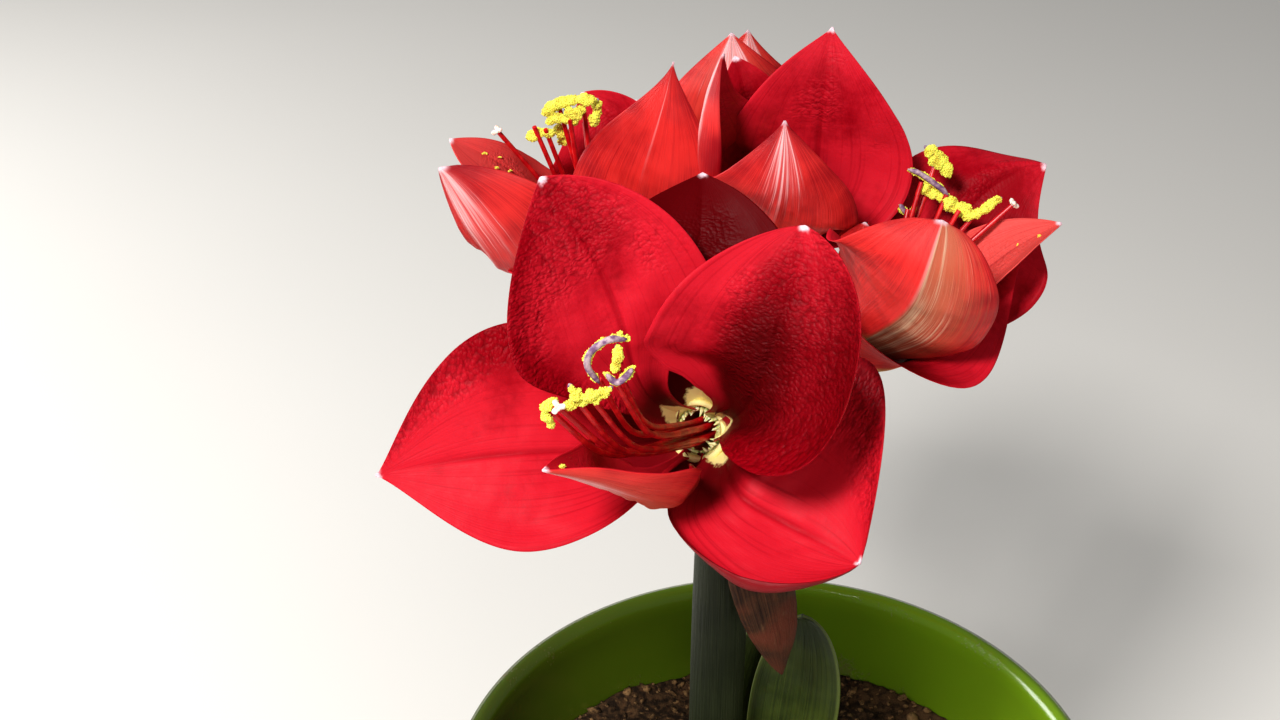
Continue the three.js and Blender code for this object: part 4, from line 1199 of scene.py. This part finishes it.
def scape_finish():
    f = Finish("scape", 0.3)
    place = f.place()
    x, y, z = f.parts(place)
    slow = f.noise(place, 0.035, 3)
    rib = f.noise((x * 1.6, y * 1.6, z * 0.02), 1.0, 3)
    speck = f.noise((x, y, z * 0.4), 0.9, 4)
    # The greens are much darker than the stem's own: they paint the shade that the blooms cast on it.
    colour = f.paint(
        (0.010, 0.014, 0.004),
        ((0.024, 0.030, 0.011), f.step(slow * 0.5 + rib * 0.5, 0.35, 0.65)),
        ((0.040, 0.044, 0.024), f.step(speck, 0.6, 0.8) * 0.35),
        ((0.20, 0.26, 0.06), f.step(z, 365, 392) * 0.8),
        ((0.22, 0.07, 0.04), f.step(slow, 0.55, 0.75) * f.step(z, 372, 410) * 0.5))
    return f.finish(colour, 0.42 + 0.2 * speck, rib * 0.5 + speck * 0.1)


def build_scape():
    shell = Shell()
    line, along, _ = through(SCAPE_PATH, 40)
    tube_along(shell, line, along, SCAPE_RADIUS * (1 + 0.06 * smooth((230 - line[:, 2]) / 50)))
    ball = np.linspace(0.05, np.pi - 0.05, KNOB_ROWS)
    knob = UMBEL + np.column_stack([0 * ball, 0 * ball, -np.cos(ball) * KNOB_HALF])
    tube_along(shell, knob, np.tile([0.0, 0.0, 1.0], (KNOB_ROWS, 1)), KNOB_RADIUS * np.sin(ball))
    for bloom in BLOOMS.values():
        z = bloom_frame(bloom)[3]
        end = in_bloom(bloom, 0, 0, OVARY_MIDDLE)
        reach = PEDICEL_REACH * np.linalg.norm(end - UMBEL)
        away = unit(unit(end - UMBEL) + np.array([0, 0, 1.0]))
        line, along, _ = bezier((UMBEL, UMBEL + away * reach, end - z * reach, end), 24)
        tube_along(shell, line, along, PEDICEL_RADIUS + 1.2 * smooth(1 - np.linspace(0, 3, 25)))
        points, turn = turned(OVARY_OUTLINE, TUBE_SEGMENTS)
        points[..., :2] *= (1 + OVARY_LOBES * np.cos(3 * turn))[..., None]
        shell.ring_grid(on_axis(points, bloom))
    piece = shell.make("scape", scape_finish())
    remesh = piece.modifiers.new("skin", "REMESH")
    remesh.mode = "VOXEL"
    remesh.voxel_size = SCAPE_VOXEL * MM
    remesh.use_smooth_shade = True
    relax = piece.modifiers.new("relax", "SMOOTH")
    relax.iterations = SCAPE_RELAX
    dress(plain_copy("scape_skin", piece), "scape")


build_scape()

# %% [markdown]
# ## Leaves and bracts
# Two young leaves are thick, smooth and blunt, with parallel veins and a paler margin. The bracts are the
# sheath that covered the buds: dry, papery and curled now. Both are blades again, with their own numbers.

# %% Leaves and bracts
LEAF = dict(BLADE, claw=0.62, fullest=0.6, point=0.5, cup=(40, 24, 10), wave=0, ease=1.6, thickness=3.2,
            thin=0.3, groove=0.5, soft=0.3, rows=90, columns=22)
BRACT = dict(BLADE, claw=0.5, fullest=0.45, point=0.8, cup=(30, 25, 40), edge=(10, 30), wave=1.6, waves=2.2,
             phase=0.1, ease=1.6, thickness=0.7, thin=0.4, groove=0.3, soft=1.6, rows=70, columns=20)
LEAVES = {                    # the midrib's four points, where the inner side looks, and the width
    "leaf_1": (LEAF, [(2, 2, 185), (1, 2, 225), (10, 3, 262), (8, 8, 298)],
               (-0.7, -0.7, 0), (-0.2, -1, 0.1), 38),
    "leaf_2": (LEAF, [(-13, 19, 185), (-13, 19, 225), (-3, 17, 262), (-2, 18, 290)],
               (-0.4, -0.9, 0), (-0.1, -1, 0), 34),
    "bract_1": (BRACT, [(-19, -18.4, 370), (-15, -26, 358), (-6, -31, 330), (-3, -34, 304)],
                (-0.5, 0.85, 0), (-0.3, 0.9, 0), 27),
    "bract_2": (BRACT, [(-25, 4, 370), (-25, 13, 358), (-26, 18, 332), (-27, 20, 304)],
                (0, -1, 0), (0.1, -1, 0), 22),
}


def leaf_finish():
    f = Finish("leaf", 0.5, 0.08, Coat_Weight=0.12, Coat_Roughness=0.3)
    u, v, tone = f.values("blade")
    x, y, seed = f.values("flat")
    slow = f.noise((x, y, seed), 0.05, 3)
    vein = f.noise((v * 30, u * 0.8, seed), 1.0, 3)
    speck = f.noise((x, y * 0.5, seed), 1.1, 3)
    # The greens are darker than the leaves' own, painting the shade of the blooms over them.
    colour = f.paint(
        (0.022, 0.034, 0.006),
        ((0.066, 0.090, 0.014), f.step(slow * 0.6 + vein * 0.4, 0.35, 0.65)),
        ((0.17, 0.21, 0.05), f.step(abs(v), 0.9, 1.0) * 0.7),
        ((0.11, 0.13, 0.04), f.step(speck, 0.62, 0.8) * 0.3))
    return f.finish(colour, 0.4 + 0.15 * speck, vein * 0.35 + slow * 0.6)


def bract_finish():
    f = Finish("bract", 0.25, 0.1)
    u, v, tone = f.values("blade")
    x, y, seed = f.values("flat")
    slow = f.noise((x, y, seed), 0.07, 4)
    vein = f.noise((v * 22, u * 1.2, seed), 1.0, 4, 0.65)
    creases = f.noise((x, y * 0.35, seed), 0.35, 4, 0.6)
    # The browns are darker than the bracts' own dry brown, painting the shade of the blooms over them.
    colour = f.paint(
        (0.022, 0.008, 0.004),
        ((0.11, 0.046, 0.020), f.step(vein * 0.6 + slow * 0.4, 0.36, 0.62)),
        ((0.13, 0.026, 0.012), f.step(slow + u * 0.25, 0.55, 0.85) * 0.7),
        ((0.20, 0.12, 0.06), f.step(creases, 0.58, 0.75) * 0.4))
    return f.finish(colour, 0.62, vein * 0.5 + creases * 0.9)


LEAF_FINISHES = {"leaf": leaf_finish(), "bract": bract_finish()}
for k, (name, (kind, curve, start, face, width)) in enumerate(LEAVES.items()):
    shell = Shell()
    slot = name[:-2]
    blade(shell, dict(kind, width=width), curve, start, face, 900 + 10 * k, (0, 0))
    dress(shell.make(f"{name}_skin", LEAF_FINISHES[slot]), name)

# %% [markdown]
# ## Pot
# A moulded pot of one glossy plastic, with a rolled rim. Its outline is turned round the axis, with the rim
# as a smooth curve. Its green is painted dark on the left and bright on the right, as shade and light.
# Potting left a little brown dust under the rim and a few smears of earth on the wall.

# %% Pot
POT_NECK = 133                # mm, radius under the rim
POT_NECK_LEVEL = 194
POT_FOOT = 100                # mm, radius
POT_WALL = 3.2                # mm thick
POT_FLOOR = 4                 # mm, level of the inside's bottom
POT_SEGMENTS = 192
POT_ROLL = [(POT_NECK + 0.6, POT_NECK_LEVEL), (138, 197.4), (139.6, 201), (140, 206), (139.2, 211),
            (136.6, 214.4), (133.6, 214.4), (131.2, 211.6), (130.4, 206), (130, 198)]


def pot_radius(z):
    """The wall's outside, which widens evenly from the foot to the rim."""
    return POT_FOOT + (POT_NECK - POT_FOOT) * z / POT_NECK_LEVEL


def pot_outline():
    outside = [(0.5, 0), (60, 0), (POT_FOOT - 3, 0), (POT_FOOT - 0.6, 0.8), (pot_radius(3.5), 3.5)]
    outside += [(pot_radius(z), z) for z in (20, 60, 100, 140, 175, 189)]
    inside = [(pot_radius(z) - POT_WALL, z) for z in (189, 175, 150, 120, 80, 40, 10)]
    inside += [(pot_radius(5) - POT_WALL - 2.5, 4.4), (60, POT_FLOOR), (0.5, POT_FLOOR)]
    return outside + POT_ROLL + inside


def pot_finish():
    f = Finish("pot", 0.5, 0.05, 3, Coat_Weight=0.35, Coat_Roughness=0.12)
    place = f.place()
    x, y, z = f.parts(place)
    slow = f.noise(place, 0.012)
    smear = f.noise((x, y, z * 0.6), 0.045, 5, 0.62)
    dust = f.noise(place, 0.8, 4, 0.6)
    scratch = f.noise((x * 0.6, y * 0.6, z * 6), 0.5)
    under_rim = f.step(z, 196, 211) * f.step(z, 216, 212)
    near_soil = f.step(z, 186, 168)
    dirt = f.step(smear * 0.6 + dust * 0.4 + under_rim * 0.1 + near_soil * 0.12, 0.64, 0.80)
    # painted light and shade: the green is dark on the left and bright on the right
    colour = f.paint((0.055, 0.080, 0.005), ((0.190, 0.330, 0.012), f.step(x + slow * 60, -110, 170)),
                     ((0.16, 0.10, 0.05), dirt * 0.5))
    return f.finish(colour, 0.16 + 0.5 * dirt, scratch * 0.05 + dirt * 0.2)


shell = Shell()
rings = turned(pot_outline(), POT_SEGMENTS, 3)[0]
rings[..., 2] = np.maximum(rings[..., 2], 0)    # the smooth line dips under the foot otherwise
shell.ring_grid(rings)
dress(shell.make("pot_skin", pot_finish()), "pot")

# %% [markdown]
# ## Soil
# Potting soil is bits of bark and peat of every size. A grid with several sizes of relief gives the ground,
# and a tree scatters crumbs on it. Each crumb is one small faceted ball, stretched and turned at random.
# Ground and crumbs are painted lighter towards the right, as light falling there.

# %% Soil
SOIL_LEVEL = 164
SOIL_EDGE = pot_radius(SOIL_LEVEL) - POT_WALL - 0.2
SOIL_ROWS = 110
SOIL_COLUMNS = 300
SOIL_DEPTH = 12
SOIL_DARK = (0.022, 0.012, 0.006)
SOIL_LIGHT = (0.12, 0.065, 0.030)
CRUMB_DARK = (0.026, 0.013, 0.006)
CRUMB_LIGHT = (0.34, 0.20, 0.09)
CRUMB_DENSITY = 4e5           # per square metre, before the spacing thins them out
CRUMBS = {"soil_bits": (6.2, 3.4, 1.0, 4), "soil_grit": (4.3, 1.2, 0.7, 9)}     # spacing, sizes in mm, seed
BULB_AT = (-13, -3)


def soil_height(x, y):
    broad = ripples(x, y, 90, 61) * 1.4 + ripples(x, y, 30, 62) * 1.0
    small = ripples(x, y, 11, 63) * 0.7 + ripples(x, y, 5, 64, 9) * 0.45
    rim = smooth((np.hypot(x, y) - SOIL_EDGE + 14) / 14)
    mound = 4 * np.exp(-((np.hypot(x - BULB_AT[0], y - BULB_AT[1]) - 40) / 10) ** 2)
    return SOIL_LEVEL + broad + small + 3.5 * rim + mound


def soil_top():
    """Rings from the middle to the pot's wall."""
    radius = np.linspace(0.5, SOIL_EDGE, SOIL_ROWS)[:, None]
    turn = circle(SOIL_COLUMNS)
    x, y = radius * np.cos(turn), radius * np.sin(turn)
    return np.stack([x, y, soil_height(x, y)], -1)


def crumb_tree():
    t = Tree("crumbs", Spacing=0.002, Crumb=0.002, Least=0.0005, Seed=1)
    bump = t.add("ShaderNodeTexNoise", {}, {"Scale": 1.3, "Detail": 2.0})
    lump = t.pushed(t.ball(), bump * 1.6 - 0.8)
    size = t.random(0.0, 1.0) ** 3.0 * t.inputs["Crumb"] + t.inputs["Least"]
    shape = t.scaled(t.random((0.7, 0.5, 0.35), (1.5, 1.1, 0.9)), size)
    spin = t.random((-0.6, -0.6, 0), (0.6, 0.6, 6.3))
    return t.end(t.strewn(t.inputs["Geometry"], lump, spin, shape, CRUMB_DENSITY))


def soil_finish(name, dark, light):
    f = Finish(name, 0.25)
    place = f.place()
    slow = f.noise(place, 0.06, 3)
    bit = f.noise(place, 0.35, 3)
    fine = f.noise(place, 1.6, 4, 0.6)
    # painted light: the soil gets lighter towards the right
    painted_light_right = f.step(f.parts(place)[0], 20, 110)
    colour = f.paint(dark, (light, f.step(slow * 0.25 + bit * 0.5 + fine * 0.25 + painted_light_right * 0.1, 0.42, 0.62)))
    return f.finish(colour, 0.9, fine * 0.8)


def build_soil():
    top = soil_top()
    ground = Shell()
    low = np.array([0, 0, SOIL_LEVEL - SOIL_DEPTH])
    skirt = top[-1] * np.array([1, 1, 0]) + low
    bottom = low + (skirt - low) * 0.02
    ground.ring_grid(np.concatenate([top, skirt[None], bottom[None]]))
    dress(ground.make("soil_ground", soil_finish("soil", SOIL_DARK, SOIL_LIGHT)), "soil")
    crumb_finish = soil_finish("crumb", CRUMB_DARK, CRUMB_LIGHT)
    tree = crumb_tree()
    for name, (spacing, crumb, least, seed) in CRUMBS.items():
        carrier = Shell()
        carrier.ring_grid(top, close=False)
        crumbs = grow(name, carrier.make("carrier"), tree, Spacing=spacing * MM, Crumb=crumb * MM,
                      Least=least * MM, Seed=seed, Material=crumb_finish)
        dress(crumbs, "soil")


build_soil()

# %% [markdown]
# ## Bulb
# The bulb stands half out of the soil in its dry brown tunic. The tunic is several thin layers that have
# split and ended at different heights, so it is turned in layers, each with its own torn upper edge.

# %% Bulb
BULB_OUTLINE = [(1, 96), (14, 95), (30, 102), (43, 120), (47, 138), (44, 156), (37, 172), (32.5, 186),
                (31, 195), (28, 197), (24, 192), (2, 187)]
BULB_SEGMENTS = 120
TUNIC_LAYERS = [(0.2, 0.0), (0.9, 0.18), (1.5, 0.42)]     # how far a layer stands off, how far it has torn


def bulb_finish():
    f = Finish("tunic", 0.3, 0.05)
    turn, level, layer = f.values("tunic")
    vein = f.noise((turn * 26, level * 0.02, layer), 1.0, 4, 0.6)
    patch = f.noise(f.place(), 0.06, 4)
    flake = f.noise((turn * 8, level * 0.12, layer), 1.0, 4)
    colour = f.paint(
        (0.10, 0.035, 0.014),
        ((0.36, 0.17, 0.07), f.step(vein * 0.6 + patch * 0.4, 0.35, 0.65)),
        ((0.50, 0.33, 0.17), f.step(flake, 0.58, 0.75) * 0.5))
    return f.finish(colour, 0.5 + 0.3 * patch, vein * 0.5 + flake * 0.5)


def build_bulb():
    shell = Shell()
    base, turn = turned(BULB_OUTLINE, BULB_SEGMENTS, 5)
    for k, (extra, drop) in enumerate(TUNIC_LAYERS):
        points = base.copy()
        torn = 1 + 0.5 * ripples(turn * 12, 0 * turn, 14, 70 + k)
        torn = torn + 0.25 * ripples(turn * 12, 0 * turn, 4, 80 + k)
        swell = extra + 0.4 * ripples(turn * 20, points[..., 2], 16, 90 + k)
        inside = smooth((points[..., 2] - 150 + 60 * drop * torn) / 4) if drop else 0 * turn
        grown = np.hypot(points[..., 0], points[..., 1]) + swell * (1 - 1.6 * inside)
        grown = np.where(grown > 0, grown, 0.2)
        points[..., 0] = grown * np.cos(turn)
        points[..., 1] = grown * np.sin(turn)
        value = triple(turn.shape, np.cos(turn) * 3, points[..., 2], 5.0 * k)
        points[..., :2] += BULB_AT
        shell.ring_grid(points, 0, {"tunic": value})
    dress(shell.make("bulb_tunic", bulb_finish()), "bulb")


build_bulb()

# %% [markdown]
# ## Floor
# The pot stands on a plain pale floor. It isn't part of the object, and it is large enough to fill the
# picture.

# %% Floor
FLOOR_HALF = 7000             # mm


def floor_finish():
    f = Finish("floor", 0.2)
    slow = f.noise(f.place(), 0.002)
    return f.finish(f.paint((0.78, 0.755, 0.71), ((0.82, 0.795, 0.75), slow)), 0.7)


corners = [(x * FLOOR_HALF * MM, y * FLOOR_HALF * MM, 0) for x, y in ((-1, -1), (1, -1), (1, 1), (-1, 1))]
mesh = bpy.data.meshes.new("floor")
mesh.from_pydata(corners, [], [(0, 1, 2, 3)])
mesh.materials.append(floor_finish())
place_object("floor", mesh)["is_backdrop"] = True

# %% [markdown]
# ## Size
# Both boxes, the construction's and the dressed plant's, are printed side by side. The dressed plant may
# stand only a little proud of its construction.

# %% Size
low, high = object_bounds()
sizes = {"cad": [list(CAD_LOW), list(CAD_HIGH)], "visual": [list(low), list(high)]}
for label, (a, b) in sizes.items():
    print(label, [round(1000 * c, 1) for c in a], [round(1000 * c, 1) for c in b])
